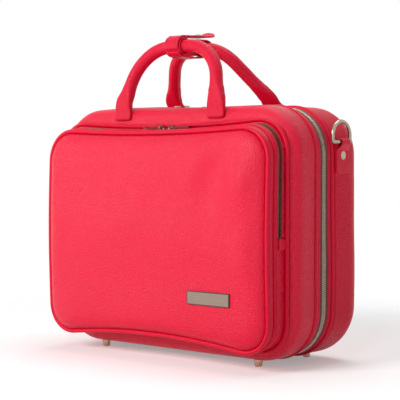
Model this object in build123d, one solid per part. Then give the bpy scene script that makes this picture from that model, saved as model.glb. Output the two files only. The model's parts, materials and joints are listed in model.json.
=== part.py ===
"""Soft-sided oboe case: two padded half shells joined by a zip, with a front pocket.

Millimetres. X runs along the width, Y from front to rear, Z up from the soles of the feet.
The pieces are first placed with the zip's middle plane at Y = 0, and then all of them move
together, so that the origin lies on the floor under the middle of the whole case.
"""
from build123d import *
import math
import os

# Case body
body_width = 350.0
body_height = 270.0
corner_radius = 53.0
front_depth = 52.0
rear_depth = 71.0
front_edge_radius = 14.0
rear_edge_radius = 25.0
cover_thickness = 3.0
board_thickness = 4.0
lining_thickness = 2.0
layer_gap = 0.3
parting_gap = 0.3

# Feet
foot_height = 7.5
foot_radius = 4.8
foot_sole_radius = 3.4
foot_neck_radius = 4.2
foot_bevel = 1.2
foot_flange = 2.6
foot_x = 114.5
front_foot_y = 36.0
rear_foot_y = 50.0

# Main zip, from the parting plane outwards
zip_row_gap = 1.0
zip_row_width = 3.15
zip_row_thickness = 2.2
zip_row_proud = 0.2
zip_tape_width = 2.9
zip_tape_thickness = 1.0
edge_band_thickness = 1.8
edge_band_inset = 1.2
welt_radius = 2.0
welt_inset = 0.8
front_welt_y = 15.8
rear_welt_y = 13.4
zip_end_x = 120.0
hinge_strip_thickness = 1.6
hinge_strip_sunk = 0.1

# Fitted tray and lid pad
tray_front_y = 12.0
lower_joint_length = 266.0
lower_joint_width = 44.0
lower_joint_depth = 36.0
lower_joint_z = 70.0
upper_joint_length = 240.0
upper_joint_width = 38.0
upper_joint_depth = 32.0
upper_joint_z = 17.0
bell_length = 136.0
bell_mouth_width = 52.0
bell_throat_width = 36.0
bell_depth = 38.0
bell_x = -84.0
bell_z = -42.0
reed_well_length = 104.0
reed_well_height = 62.0
reed_well_depth = 26.0
reed_well_x = 72.0
reed_well_z = -46.0
tool_well_length = 210.0
tool_well_height = 22.0
tool_well_depth = 18.0
tool_well_z = -98.0
finger_notch_radius = 13.0
finger_notch_x = 38.0
finger_notch_sunk = 5.2
well_corner_radius = 6.0
pad_thickness = 10.0
pad_margin = 22.0
pad_edge_radius = 6.0

# Front pocket
pocket_side_margin = 9.3
pocket_side_slant = 3.3
pocket_bottom_rise = 7.2
pocket_top_drop = 12.4
pocket_top_slant = 8.6
pocket_corner_radius = 38.0
pocket_bottom_bow = 13.0
pocket_top_bow = 6.0
pocket_back_top_bow = 8.5
pocket_depth = 26.3
pocket_split_rise = 132.0
gusset_thickness = 2.2
piping_radius = 2.4
inner_piping_radius = 1.9
inner_piping_back = 10.3
pocket_welt_radius = 2.2
pocket_welt_spread = 1.0
gusset_start_gap = 0.2
pocket_zip_back = 17.3
pocket_row_width = 2.5
pocket_row_thickness = 1.8
pocket_row_proud = 0.2
panel_crown = 13.8
panel_edge_gap = 0.3
panel_edge_soft = 36.0
end_tab_length = 12.0
end_tab_width = 9.0
end_tab_thickness = 2.0

# Badge plate, bare
badge_width = 58.0
badge_height = 14.5
badge_thickness = 1.2
badge_corner = 1.0
badge_from_side = 72.4
badge_rise = 67.0

# Handles
handle_radius = 7.25
handle_core_radius = 3.5
front_arch_radius = 50.0
rear_arch_radius = 46.0
front_handle_half_spacing = 69.0
front_handle_half_top = 54.0
rear_handle_half_spacing = 72.0
rear_handle_half_top = 34.0
rear_handle_sway = -8.0
front_handle_top_y = -34.0
front_handle_rise = 68.8
rear_handle_top_y = 6.0
rear_handle_rise = 68.5
front_root_angle = 34.0
rear_root_inset = 35.0
tab_width = 24.0
tab_thickness = 3.0
tab_beyond_root = 9.0
front_tab_drop = 13.0
rear_tab_drop = 37.0

# Leather wrap that holds the two handles together
wrap_width = 22.5
wrap_thickness = 2.2
wrap_x = -2.5
wrap_gap = 0.3
strap_slack = 0.4
strap_end_flat = 12.0
tongue_width = 20.0
tongue_flat = 41.0
tongue_reach = 58.5
tongue_curl_radius = 32.0
tongue_rise_angle = 3.0
snap_along = 34.5
snap_radius = 6.0
snap_rim = 0.8
snap_height = 2.2
stud_radius = 4.0
stud_height = 0.9

# Shoulder strap tabs and D-rings
strap_tab_width = 24.0
strap_tab_reach = 33.0
strap_tab_thickness = 3.0
strap_loop_width = 15.0
strap_loop_wall = 2.0
ring_bar_drop = 39.0
ring_wire_radius = 1.9
ring_outer_width = 35.6
ring_side_height = 6.3
ring_corner_radius = 2.6
ring_shift = -5.0
ring_clearance = 0.3
rivet_radius = 4.5
rivet_rim = 0.4
rivet_head = 1.5
rivet_drop = 14.0

# Zip sliders and pulls
slider_length = 13.0
slider_width = 9.6
slider_plate = 1.3
slider_clearance = 0.45
slider_corner = 2.4
diamond_width = 0.4
diamond_length = 9.0
bridge_length = 7.0
bridge_width = 2.6
bridge_height = 3.6
bridge_wall = 1.2
pull_pin_radius = 0.8
pull_eye_half_width = 2.7
pull_wire = 1.5
pull_arm_clear = 2.5
pull_length = 27.0
pull_thickness = 1.6
pull_corner = 1.2
pull_hole_length = 5.0
pull_hole_width = 2.6
pull_hole_from_end = 5.0
main_slider_left_x = -33.5
main_slider_right_x = -19.5
pocket_slider_left_x = -1.0
pocket_slider_right_x = 13.0

middle_z = foot_height + body_height / 2
base_z = foot_height
top_z = foot_height + body_height
pocket_back_half_width = body_width / 2 - pocket_side_margin
pocket_half_width = pocket_back_half_width - pocket_side_slant
pocket_low = base_z + pocket_bottom_rise
pocket_back_top = top_z - pocket_top_drop
pocket_top = pocket_back_top - pocket_top_slant
pocket_split_z = base_z + pocket_split_rise
front_handle_top_z = top_z + front_handle_rise
rear_handle_top_z = top_z + rear_handle_rise
ring_bar_z = top_z - ring_bar_drop
front, rear = -1, 1
beyond = 2 * (body_width + body_height)
nodes = {}


def facing_front(y):
    """Plane at depth y whose drawing directions are X and Z and whose normal is -Y."""
    return Plane(origin=(0, y, 0), x_dir=(1, 0, 0), z_dir=(0, -1, 0))


def half_space(x_range, y_range, z_range):
    """Box between three pairs of limits."""
    sizes = [high - low for low, high in (x_range, y_range, z_range)]
    middles = [(high + low) / 2 for low, high in (x_range, y_range, z_range)]
    return Pos(*middles) * Box(*sizes)


def body_face(inset, y):
    """Outline of the case, inset all round, at depth y."""
    outline = RectangleRounded(
        body_width - 2 * inset, body_height - 2 * inset, corner_radius - inset)
    return facing_front(y) * (Pos(0, middle_z) * outline)


def body_slab(inset, y_front, y_back):
    return extrude(body_face(inset, y_back), amount=y_back - y_front)


def body_ring(inset, thickness, y_front, y_back):
    """Band that follows the case's outline."""
    hole = body_slab(inset + thickness, y_front - 1, y_back + 1)
    return body_slab(inset, y_front, y_back) - hole


def half_blank(side, inset, rim):
    """Solid of one half inside the given inset, from the rim distance to the outer face."""
    depth, edge_radius = (front_depth, front_edge_radius)
    if side == rear:
        depth, edge_radius = (rear_depth, rear_edge_radius)
    reach = depth - inset
    blank = body_slab(inset, min(side * rim, side * reach), max(side * rim, side * reach))
    outer_face = blank.faces().sort_by(Axis.Y)[0 if side == front else -1]
    return fillet(outer_face.edges(), edge_radius - inset)


def shell_layer(side, inset, thickness, rim):
    """One open layer of a half shell: leather cover, board or lining."""
    return half_blank(side, inset, rim) - half_blank(side, inset + thickness, rim - 5)


def tube_along(path, radius):
    start = Plane(origin=path @ 0, z_dir=path % 0)
    return sweep(start * Circle(radius), path=path)


def body_piping(inset, y, radius):
    return tube_along(body_face(inset, y).wire(), radius)


def dome(radius, rim, height):
    """Round head with a short straight rim and a spherical top, standing on Z = 0."""
    rise = height - rim
    sphere_radius = (radius ** 2 + rise ** 2) / (2 * rise)
    half_turn = math.asin(radius / sphere_radius) / 2
    profile = make_face([
        Line((0, 0), (radius, 0)),
        Line((radius, 0), (radius, rim)),
        ThreePointArc((radius, rim),
                      (sphere_radius * math.sin(half_turn),
                       height - sphere_radius * (1 - math.cos(half_turn))),
                      (0, height)),
        Line((0, height), (0, 0))])
    return revolve(Plane.XZ * profile, Axis.Z)


def without_bottom(solid):
    """Leave out the middle of the bottom edge, where the leather hinge strip runs."""
    reach = body_height / 4
    return solid - half_space(
        (-zip_end_x, zip_end_x), (-reach, reach), (base_z - reach, base_z + reach))


# Half shells, lining and boards
board_inset = cover_thickness + layer_gap
lining_inset = board_inset + board_thickness + layer_gap
inner_inset = lining_inset + lining_thickness
row_edge = zip_row_gap / 2
tape_start = row_edge + zip_row_width
band_start = tape_start + zip_tape_width
board_rim = slider_width / 2 + layer_gap

for side, name, welt_y in ((front, "front", front_welt_y), (rear, "rear", rear_welt_y)):
    cover_rim = welt_y + welt_radius + layer_gap
    nodes[name + "_cover"] = shell_layer(side, 0, cover_thickness, cover_rim)
    nodes[name + "_board"] = shell_layer(side, board_inset, board_thickness, board_rim)
    nodes[name + "_lining"] = shell_layer(side, lining_inset, lining_thickness, board_rim)
    nodes[name + "_welt"] = body_piping(welt_inset, side * welt_y, welt_radius)
    band_end = welt_y - welt_radius - layer_gap
    band_limits = sorted((side * band_start, side * band_end))
    nodes[name + "_edge_band"] = body_ring(edge_band_inset, edge_band_thickness, *band_limits)
    row_inset = edge_band_inset - zip_row_proud
    row_limits = sorted((side * row_edge, side * tape_start))
    row = body_ring(row_inset, zip_row_thickness, *row_limits)
    tape_limits = sorted((side * tape_start, side * band_start))
    tape_inset = row_inset + (zip_row_thickness - zip_tape_thickness) / 2
    tape = body_ring(tape_inset, zip_tape_thickness, *tape_limits)
    nodes[name + "_zip_row"] = without_bottom(row)
    nodes[name + "_zip_tape"] = without_bottom(tape)

strip_inset = edge_band_inset + hinge_strip_sunk
hinge_strip = half_space(
    (-zip_end_x + layer_gap, zip_end_x - layer_gap),
    (-band_start + layer_gap, band_start - layer_gap),
    (base_z + strip_inset, base_z + strip_inset + hinge_strip_thickness))
nodes["hinge_strip"] = hinge_strip

# Feet
foot_profile = Polyline(
    (0, 0), (foot_sole_radius, 0), (foot_neck_radius, foot_bevel),
    (foot_neck_radius, foot_height - foot_flange), (foot_radius, foot_height - foot_flange),
    (foot_radius, foot_height), (0, foot_height), close=True)
foot = revolve(Plane.XZ * make_face(foot_profile), Axis.Z)
for side, name, foot_y in ((front, "front", front_foot_y), (rear, "rear", rear_foot_y)):
    nodes[name + "_feet"] = Compound(
        [Pos(x, side * foot_y, 0) * foot for x in (-foot_x, foot_x)])

# Tray with a well for each piece of the instrument
tray_back_y = rear_depth - inner_inset - layer_gap
tray_body = body_slab(inner_inset + layer_gap, tray_front_y, tray_back_y)
tray_rear_face = tray_body.faces().sort_by(Axis.Y)[-1]
tray_body = fillet(tray_rear_face.edges(), rear_edge_radius - inner_inset - layer_gap)


def trough(length, width, depth, x, z):
    """Round-bottomed well along X, open to the front."""
    round_y = tray_front_y + depth - width / 2
    bottom = Pos(x, round_y, middle_z + z) * Rot(0, 90, 0) * Cylinder(width / 2, length)
    mouth = half_space(
        (x - length / 2, x + length / 2), (tray_front_y - 5, round_y),
        (middle_z + z - width / 2, middle_z + z + width / 2))
    return bottom + mouth


def square_well(length, height, depth, x, z):
    """Flat-bottomed well with rounded corners, open to the front."""
    outline = Pos(x, middle_z + z) * RectangleRounded(length, height, well_corner_radius)
    return extrude(facing_front(tray_front_y + depth) * outline, amount=depth + 5)


def bell_well():
    """Tapered well for the bell, open to the front."""
    half_length = bell_length / 2
    mouth, throat = bell_mouth_width / 2, bell_throat_width / 2
    outline = Polyline(
        (bell_x - half_length, middle_z + bell_z - mouth),
        (bell_x + half_length, middle_z + bell_z - throat),
        (bell_x + half_length, middle_z + bell_z + throat),
        (bell_x - half_length, middle_z + bell_z + mouth), close=True)
    axis_y = tray_front_y + bell_depth - mouth
    upper = extrude(facing_front(axis_y) * make_face(outline), amount=axis_y - tray_front_y + 5)
    cone = Pos(bell_x, axis_y, middle_z + bell_z) * Rot(0, 90, 0) * Cone(mouth, throat, bell_length)
    return upper + cone


wells = [
    trough(lower_joint_length, lower_joint_width, lower_joint_depth, 0, lower_joint_z),
    trough(upper_joint_length, upper_joint_width, upper_joint_depth, 0, upper_joint_z),
    bell_well(),
    square_well(reed_well_length, reed_well_height, reed_well_depth, reed_well_x, reed_well_z),
    square_well(tool_well_length, tool_well_height, tool_well_depth, 0, tool_well_z),
]
notch_length = lower_joint_z - upper_joint_z + upper_joint_width / 2
notches = [
    Pos(x, tray_front_y + finger_notch_sunk, middle_z + (lower_joint_z + upper_joint_z) / 2)
    * Cylinder(finger_notch_radius, notch_length)
    for x in (-finger_notch_x, finger_notch_x)]
for cutter in wells + notches:
    tray_body = tray_body - cutter
nodes["instrument_tray"] = tray_body

# Soft pad inside the front half, which presses the instrument into the tray
pad_back_y = -(front_depth - inner_inset - layer_gap)
pad_body = body_slab(inner_inset + pad_margin, pad_back_y, pad_back_y + pad_thickness)
pad_edges = pad_body.faces().sort_by(Axis.Y)[-1].edges()
nodes["lid_pad"] = fillet(pad_edges, pad_edge_radius)


def pocket_face(y, grow):
    """Outline of the pocket at depth y: its lower edge bows up and its upper edge bows down."""
    share = (-front_depth - y) / pocket_depth
    half = pocket_back_half_width + (pocket_half_width - pocket_back_half_width) * share + grow
    top = pocket_back_top + (pocket_top - pocket_back_top) * share + grow
    bow = pocket_back_top_bow + (pocket_top_bow - pocket_back_top_bow) * share
    low = pocket_low - grow
    outline = make_face([
        ThreePointArc((-half, low), (0, low + pocket_bottom_bow), (half, low)),
        Line((half, low), (half, top)),
        ThreePointArc((half, top), (0, top - bow), (-half, top)),
        Line((-half, top), (-half, low))])
    radius = max(pocket_corner_radius + grow, pocket_corner_radius / 5)
    return facing_front(y) * fillet(outline.vertices(), radius)


def pocket_ring(y_front, y_back, grow, thickness):
    """Strip of the pocket's side wall between two depths."""
    outer = loft([pocket_face(y_back, grow), pocket_face(y_front, grow)], ruled=True)
    inner = loft([pocket_face(y_back + 1, grow - thickness),
                  pocket_face(y_front - 1, grow - thickness)], ruled=True)
    return outer - inner


def above_split(solid):
    low = pocket_split_z + parting_gap / 2
    return solid & half_space((-beyond, beyond), (-beyond, 0), (low, low + beyond))


def below_split(solid):
    high = pocket_split_z - parting_gap / 2
    return solid & half_space((-beyond, beyond), (-beyond, 0), (high - beyond, high))


# Pocket, from the shell's face outwards
shell_face_y = -front_depth
piping_y = shell_face_y - pocket_depth
inner_piping_y = piping_y + inner_piping_back
pocket_zip_y = piping_y + pocket_zip_back
welt_face_y = shell_face_y - layer_gap
nodes["pocket_welt"] = tube_along(
    pocket_face(welt_face_y - pocket_welt_radius, pocket_welt_spread).wire(), pocket_welt_radius)
gusset_back_y = welt_face_y - gusset_start_gap
rear_row_back_y = pocket_zip_y + row_edge + pocket_row_width
front_row_front_y = pocket_zip_y - row_edge - pocket_row_width
welt_clear = pocket_welt_spread - pocket_welt_radius - layer_gap
rear_gusset = pocket_ring(rear_row_back_y, gusset_back_y, welt_clear, gusset_thickness)
row_grow = welt_clear - pocket_row_proud
strip_front_y = inner_piping_y + inner_piping_radius + layer_gap / 2
zip_side_strip = pocket_ring(strip_front_y, front_row_front_y, welt_clear, gusset_thickness)
lower_wall = pocket_ring(strip_front_y, gusset_back_y, welt_clear, gusset_thickness)
outer_strip = pocket_ring(
    piping_y + piping_radius + layer_gap / 2, inner_piping_y - inner_piping_radius - layer_gap / 2,
    welt_clear, gusset_thickness)
rear_row = pocket_ring(pocket_zip_y + row_edge, rear_row_back_y, row_grow, pocket_row_thickness)
front_row = pocket_ring(front_row_front_y, pocket_zip_y - row_edge, row_grow, pocket_row_thickness)
piping_path = pocket_face(piping_y, -piping_radius / 2).wire()
inner_piping_path = pocket_face(inner_piping_y, -inner_piping_radius).wire()
piping = tube_along(piping_path, piping_radius)
inner_piping = tube_along(inner_piping_path, inner_piping_radius)

nodes["pocket_rear_gusset"] = above_split(rear_gusset)
nodes["pocket_zip_row_rear"] = above_split(rear_row)
nodes["pocket_zip_row_front"] = above_split(front_row)
nodes["pocket_zip_side_strip"] = above_split(zip_side_strip)
nodes["pocket_lower_wall"] = below_split(lower_wall)
for region, cut in (("upper", above_split), ("lower", below_split)):
    nodes["pocket_" + region + "_outer_strip"] = cut(outer_strip)
    nodes["pocket_" + region + "_piping"] = cut(piping)
    nodes["pocket_" + region + "_inner_piping"] = cut(inner_piping)

# Padded front panel: a flat middle whose edges roll back to the piping
panel_back_y = piping_y + piping_radius
panel_steps = ((0.0, 0.0), (0.0, 0.3), (0.08, 0.6), (0.25, 0.84), (0.55, 0.96), (1.0, 1.0))
panel_sections = [
    pocket_face(panel_back_y - share_out * panel_crown,
                -(piping_radius * 1.5 + panel_edge_gap) - share_in * panel_edge_soft)
    for share_in, share_out in panel_steps]
panel = loft(panel_sections, ruled=True)
panel_front_y = panel_back_y - panel_crown
nodes["pocket_upper_panel"] = above_split(panel)
nodes["pocket_lower_panel"] = below_split(panel)

# Leather tabs that end the pocket's zip at both sides
wall_half = pocket_back_half_width - pocket_side_slant * (
    (-front_depth - pocket_zip_y) / pocket_depth) + welt_clear
wall_turn = math.degrees(math.atan2(pocket_side_slant, pocket_depth))
nodes["pocket_end_tabs"] = Compound([
    Pos(side * (wall_half + layer_gap + end_tab_thickness / 2), pocket_zip_y,
        pocket_split_z - parting_gap - end_tab_length / 2)
    * Rot(0, 0, -side * wall_turn) * Box(end_tab_thickness, end_tab_width, end_tab_length)
    for side in (-1, 1)])

# Badge
badge_x = pocket_half_width - badge_from_side
badge_z = base_z + badge_rise
nodes["badge_plate"] = Pos(badge_x, panel_front_y - badge_thickness / 2, badge_z) * fillet(
    Box(badge_width, badge_thickness, badge_height).edges().filter_by(Axis.Y), badge_corner)


# Handles: the front one stands on its shell's rounded edge, the rear one on the flat top
def handle_path(half_spacing, half_top, sway, arch_radius, root, top):
    """Centre line of a handle: two splayed legs joined over the top by a wide arch."""
    rise = math.hypot(top[0] - root[0], top[1] - root[1])
    lean = Vector(0, top[0] - root[0], top[1] - root[1]).normalized()
    plane = Plane(origin=(0, *root), x_dir=(1, 0, 0), z_dir=Vector(1, 0, 0).cross(lean))
    outline = FilletPolyline(
        (-half_spacing, 0), (sway - half_top, rise), (sway + half_top, rise), (half_spacing, 0),
        radius=arch_radius)
    return (plane * outline).wire()


def handle_tabs(side, half_spacing, low_z, root):
    """Leather tabs that lie on the shell and follow its rounded edge."""
    skin = half_blank(side, -tab_thickness - layer_gap, 5) - half_blank(side, -layer_gap, 0)
    y_range = sorted((root[0] - side * tab_beyond_root, side * beyond))
    z_range = (low_z, low_z + beyond)
    return Compound([
        (skin & half_space((x - tab_width / 2, x + tab_width / 2), y_range, z_range)).solid()
        for x in (-half_spacing, half_spacing)])


root_reach = tab_thickness + 2 * layer_gap + handle_radius
front_turn = math.radians(front_root_angle)
front_root = (
    -(front_depth - front_edge_radius) - (front_edge_radius + root_reach) * math.sin(front_turn),
    top_z - front_edge_radius + (front_edge_radius + root_reach) * math.cos(front_turn))
rear_root = (rear_depth - rear_root_inset, top_z + root_reach)
front_top = (front_handle_top_y, front_handle_top_z)
rear_top = (rear_handle_top_y, rear_handle_top_z)
for name, side, half_spacing, half_top, sway, arch_radius, root, top, tab_low_z in (
        ("front", front, front_handle_half_spacing, front_handle_half_top, 0,
         front_arch_radius, front_root, front_top, top_z - front_tab_drop),
        ("rear", rear, rear_handle_half_spacing, rear_handle_half_top, rear_handle_sway,
         rear_arch_radius, rear_root, rear_top, top_z - rear_tab_drop)):
    path = handle_path(half_spacing, half_top, sway, arch_radius, root, top)
    ends = [Pos(x, *root) * Sphere(handle_radius) for x in (-half_spacing, half_spacing)]
    core_space = tube_along(path, handle_core_radius + layer_gap)
    nodes[name + "_handle"] = tube_along(path, handle_radius) + ends - core_space
    nodes[name + "_handle_core"] = tube_along(path, handle_core_radius)
    nodes[name + "_handle_tabs"] = handle_tabs(side, half_spacing, tab_low_z, root)


# Wrap round the handles
def on_wrap(y, z):
    """Plane across the wrap, with Y and Z as drawing directions."""
    return Plane(origin=(wrap_x, y, z), x_dir=(0, 1, 0), z_dir=(1, 0, 0))


def wrap_extrude(face, width):
    return extrude(face, amount=width / 2, both=True)


wrap_inner = handle_radius + wrap_gap
wrap_outer = wrap_inner + wrap_thickness
ring = Circle(wrap_outer) - Circle(wrap_inner)
nodes["wrap_band"] = wrap_extrude(on_wrap(*front_top) * ring, wrap_width)


def loop_area(radius):
    """Area round both handles, with straight sides between them."""
    span = rear_handle_top_y - front_handle_top_y
    climb = rear_handle_top_z - front_handle_top_z
    middle = Pos(span / 2, climb / 2) * Rot(0, 0, math.degrees(math.atan2(climb, span)))
    area = Circle(radius) + Pos(span, climb) * Circle(radius)
    return area + middle * Rectangle(math.hypot(span, climb), 2 * radius)


# The strap runs under both handles and round the rear one, and ends in a short flat on top of it
open_length = rear_handle_top_y - front_handle_top_y - strap_end_flat
open_top = Pos(open_length / 2, wrap_outer) * Rectangle(open_length, 2 * wrap_inner)
strap_face = (loop_area(wrap_outer) - loop_area(wrap_inner + strap_slack)
              - Circle(wrap_outer + wrap_gap) - open_top)
nodes["wrap_strap"] = Compound(
    wrap_extrude(on_wrap(*front_top) * strap_face, tongue_width).solids())

# The tongue turns about the middle of its rounded root and curls up past the rear handle
tongue_hinge = (front_handle_top_y,
                front_handle_top_z + wrap_outer + wrap_gap + wrap_thickness / 2)
curl_turn = (tongue_reach - tongue_flat) / tongue_curl_radius
half_thick = wrap_thickness / 2


def curl_point(turn, offset):
    """Point on the curled stretch, the given distance above its middle line."""
    radius = tongue_curl_radius - offset
    return (tongue_flat + radius * math.sin(turn),
            tongue_curl_radius - radius * math.cos(turn))


tongue_profile = make_face([
    Line((0, -half_thick), (tongue_flat, -half_thick)),
    ThreePointArc((tongue_flat, -half_thick), curl_point(curl_turn / 2, -half_thick),
                  curl_point(curl_turn, -half_thick)),
    Line(curl_point(curl_turn, -half_thick), curl_point(curl_turn, half_thick)),
    ThreePointArc(curl_point(curl_turn, half_thick), curl_point(curl_turn / 2, half_thick),
                  (tongue_flat, half_thick)),
    Line((tongue_flat, half_thick), (0, half_thick)),
    ThreePointArc((0, half_thick), (-half_thick, 0), (0, -half_thick))])
tongue_turned = Plane(origin=(wrap_x, *tongue_hinge)).rotated((tongue_rise_angle, 0, 0))
across = Plane(origin=(0, 0, 0), x_dir=(0, 1, 0), z_dir=(1, 0, 0))
curled = extrude(across * tongue_profile, amount=tongue_width / 2, both=True)
tip_centre = curl_point(curl_turn, 0)[0] - tongue_width / 2
tongue_outline = Pos(0, tip_centre / 2) * Rectangle(tongue_width, tip_centre)
tongue_outline += Pos(0, tip_centre) * Circle(tongue_width / 2)
tongue_outline += Pos(0, -half_thick) * Rectangle(tongue_width, 2 * half_thick)
tongue = curled & extrude(tongue_outline, amount=tongue_reach, both=True)
nodes["wrap_tongue"] = tongue_turned * tongue
nodes["snap_cap"] = tongue_turned * Pos(0, snap_along, half_thick) * dome(
    snap_radius, snap_rim, snap_height)
strap_tilt = math.atan2(
    rear_handle_top_z - front_handle_top_z, rear_handle_top_y - front_handle_top_y)
strap_plane = Plane(origin=(wrap_x, *front_top)).rotated((math.degrees(strap_tilt), 0, 0))
nodes["snap_stud"] = strap_plane * Pos(
    0, snap_along, wrap_outer + stud_height / 2) * Cylinder(stud_radius, stud_height)

# Shoulder strap tabs, rivets and D-rings
loop_radius = ring_wire_radius + ring_clearance + strap_loop_wall
ring_bar_x = body_width / 2 + layer_gap + loop_radius
strap_tab_y = rear_welt_y + welt_radius + layer_gap + strap_tab_width / 2
tab_plate = half_space(
    (body_width / 2 + layer_gap, body_width / 2 + layer_gap + strap_tab_thickness),
    (strap_tab_y - strap_tab_width / 2, strap_tab_y + strap_tab_width / 2),
    (ring_bar_z - strap_tab_reach, ring_bar_z - loop_radius))
tab_neck = half_space(
    (body_width / 2 + layer_gap, body_width / 2 + layer_gap + strap_tab_thickness),
    (strap_tab_y - strap_loop_width / 2, strap_tab_y + strap_loop_width / 2),
    (ring_bar_z - loop_radius - 1, ring_bar_z))
ring_bar_place = Pos(ring_bar_x, strap_tab_y, ring_bar_z) * Rot(90, 0, 0)
tab_loop = ring_bar_place * Cylinder(loop_radius, strap_loop_width)
bar_bore = ring_bar_place * Cylinder(ring_wire_radius + ring_clearance, strap_tab_width * 2)
strap_tab = tab_plate + tab_neck + tab_loop - bar_bore

ring_half = ring_outer_width / 2 - ring_wire_radius
ring_face = make_face([
    Line((-ring_half, 0), (ring_half, 0)),
    Line((ring_half, 0), (ring_half, ring_side_height)),
    ThreePointArc((ring_half, ring_side_height), (0, ring_side_height + ring_half),
                  (-ring_half, ring_side_height)),
    Line((-ring_half, ring_side_height), (-ring_half, 0))])
ring_low_corners = ring_face.vertices().sort_by(Axis.Y)[:2]
ring_face = fillet(ring_low_corners, ring_corner_radius)
ring_plane = Plane(
    origin=(ring_bar_x, strap_tab_y + ring_shift, ring_bar_z), x_dir=(0, 1, 0), z_dir=(1, 0, 0))
d_ring = tube_along((ring_plane * ring_face).wire(), ring_wire_radius)
rivet_x = body_width / 2 + layer_gap + strap_tab_thickness
rivet = Pos(rivet_x, strap_tab_y, ring_bar_z - rivet_drop) * Rot(0, 90, 0) * dome(
    rivet_radius, rivet_rim, rivet_head)
nodes["strap_tab_right"] = strap_tab
nodes["strap_tab_left"] = mirror(strap_tab, Plane.YZ)
nodes["d_ring_right"] = d_ring
nodes["d_ring_left"] = mirror(d_ring, Plane.YZ)
nodes["tab_rivets"] = Compound([rivet, mirror(rivet, Plane.YZ)])


# Zip sliders and pulls, drawn with the chain along X and outwards along Z
def slider(chain_thickness):
    """Two plates round the chain, joined by the diamond between its rows, with a bridge."""
    plate_z = chain_thickness / 2 + slider_clearance
    outline = fillet(Rectangle(slider_length, slider_width).vertices(), slider_corner)
    upper = Pos(0, 0, plate_z) * extrude(outline, amount=slider_plate)
    lower = Pos(0, 0, -plate_z - slider_plate) * extrude(outline, amount=slider_plate)
    diamond = Box(diamond_length, diamond_width, 2 * plate_z + slider_plate)
    arch = Box(bridge_length, bridge_width, bridge_height)
    arch -= Pos(0, 0, -bridge_wall) * Box(
        bridge_length - 2 * bridge_wall, 2 * bridge_width, bridge_height)
    arch_z = plate_z + slider_plate + bridge_height / 2
    return upper + lower + diamond + Pos(0, 0, arch_z) * arch


def pull(chain_thickness, direction):
    """Pull lying flat beyond the slider: pin under the bridge, two arms and a long plate."""
    pin_z = pull_pin_height(chain_thickness)
    pin = Pos(0, 0, pin_z) * Rot(90, 0, 0) * Cylinder(pull_pin_radius, 2 * pull_eye_half_width)
    arm_length = bridge_length / 2 + pull_arm_clear
    arms = [
        Pos(direction * arm_length / 2, side * pull_eye_half_width, pin_z)
        * Box(arm_length + pull_wire, pull_wire, pull_wire)
        for side in (-1, 1)]
    plate_length = pull_length - arm_length
    plate = Pos(direction * (arm_length + plate_length / 2), 0, pin_z) * fillet(
        Box(plate_length, 2 * pull_eye_half_width + pull_wire, pull_thickness)
        .edges().filter_by(Axis.Z), pull_corner)
    hole = Pos(direction * (pull_length - pull_hole_from_end), 0, pin_z) * Box(
        pull_hole_length, pull_hole_width, 2 * pull_thickness)
    return (pin + arms + plate - hole).solid()


def pull_pin_height(chain_thickness):
    return (chain_thickness / 2 + slider_clearance + slider_plate
            + (bridge_height - bridge_wall) / 2)


main_row_z = top_z - (edge_band_inset - zip_row_proud) - zip_row_thickness / 2
for name, x, direction in (
        ("left", main_slider_left_x, -1), ("right", main_slider_right_x, 1)):
    place = Pos(x, 0, main_row_z)
    nodes["main_slider_" + name] = place * slider(zip_row_thickness)
    nodes["main_pull_" + name] = place * pull(zip_row_thickness, direction)

zip_share = (-front_depth - pocket_zip_y) / pocket_depth
zip_bow = pocket_back_top_bow + (pocket_top_bow - pocket_back_top_bow) * zip_share
zip_half_width = pocket_back_half_width - pocket_side_slant * zip_share
pocket_row_top = pocket_back_top - pocket_top_slant * zip_share + row_grow
pocket_row_arc = (zip_half_width ** 2 + zip_bow ** 2) / (2 * zip_bow)
middle_drop = pocket_top_slant + pocket_top_bow - pocket_back_top_bow
pocket_slope = math.degrees(math.atan2(middle_drop, pocket_depth))
for name, x, direction in (
        ("left", pocket_slider_left_x, -1), ("right", pocket_slider_right_x, 1)):
    row_top = pocket_row_top - zip_bow + x ** 2 / (2 * pocket_row_arc)
    place = Pos(x, pocket_zip_y, row_top - pocket_row_thickness / 2) * Rot(pocket_slope, 0, 0)
    nodes["pocket_slider_" + name] = place * slider(pocket_row_thickness)
    nodes["pocket_pull_" + name] = place * pull(pocket_row_thickness, direction)

# Move the origin under the middle of the whole case, and write each node
whole = Compound([piece for piece in nodes.values()]).bounding_box()
centre_shift = Pos(0, -(whole.min.Y + whole.max.Y) / 2, 0)
os.makedirs("parts", exist_ok=True)
for name, piece in nodes.items():
    export_step(centre_shift * piece, "parts/" + name + ".step")
print("zip plane at y", round(-(whole.min.Y + whole.max.Y) / 2, 4))
print("front handle root", [round(value, 3) for value in front_root])
print("rear handle root", [round(value, 3) for value in rear_root])
print("tongue hinge", [round(value, 3) for value in tongue_hinge])
print("ring bar x", round(ring_bar_x, 3), "panel front y", round(panel_front_y, 3))
print("main pull pin z", round(main_row_z + pull_pin_height(zip_row_thickness), 3))
print("pocket row top", round(pocket_row_top - zip_bow, 3), "arc", round(pocket_row_arc, 2))
print("pocket zip y", round(pocket_zip_y, 3), "slope", round(pocket_slope, 3))
print("pocket pull pin", round(pull_pin_height(pocket_row_thickness) - pocket_row_thickness / 2, 3))
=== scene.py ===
"""Looks of the red leather oboe case: leather, zips, handles, metal fittings and plush inside."""

import json
import math

import bmesh
import bpy
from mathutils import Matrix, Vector, noise


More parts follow.
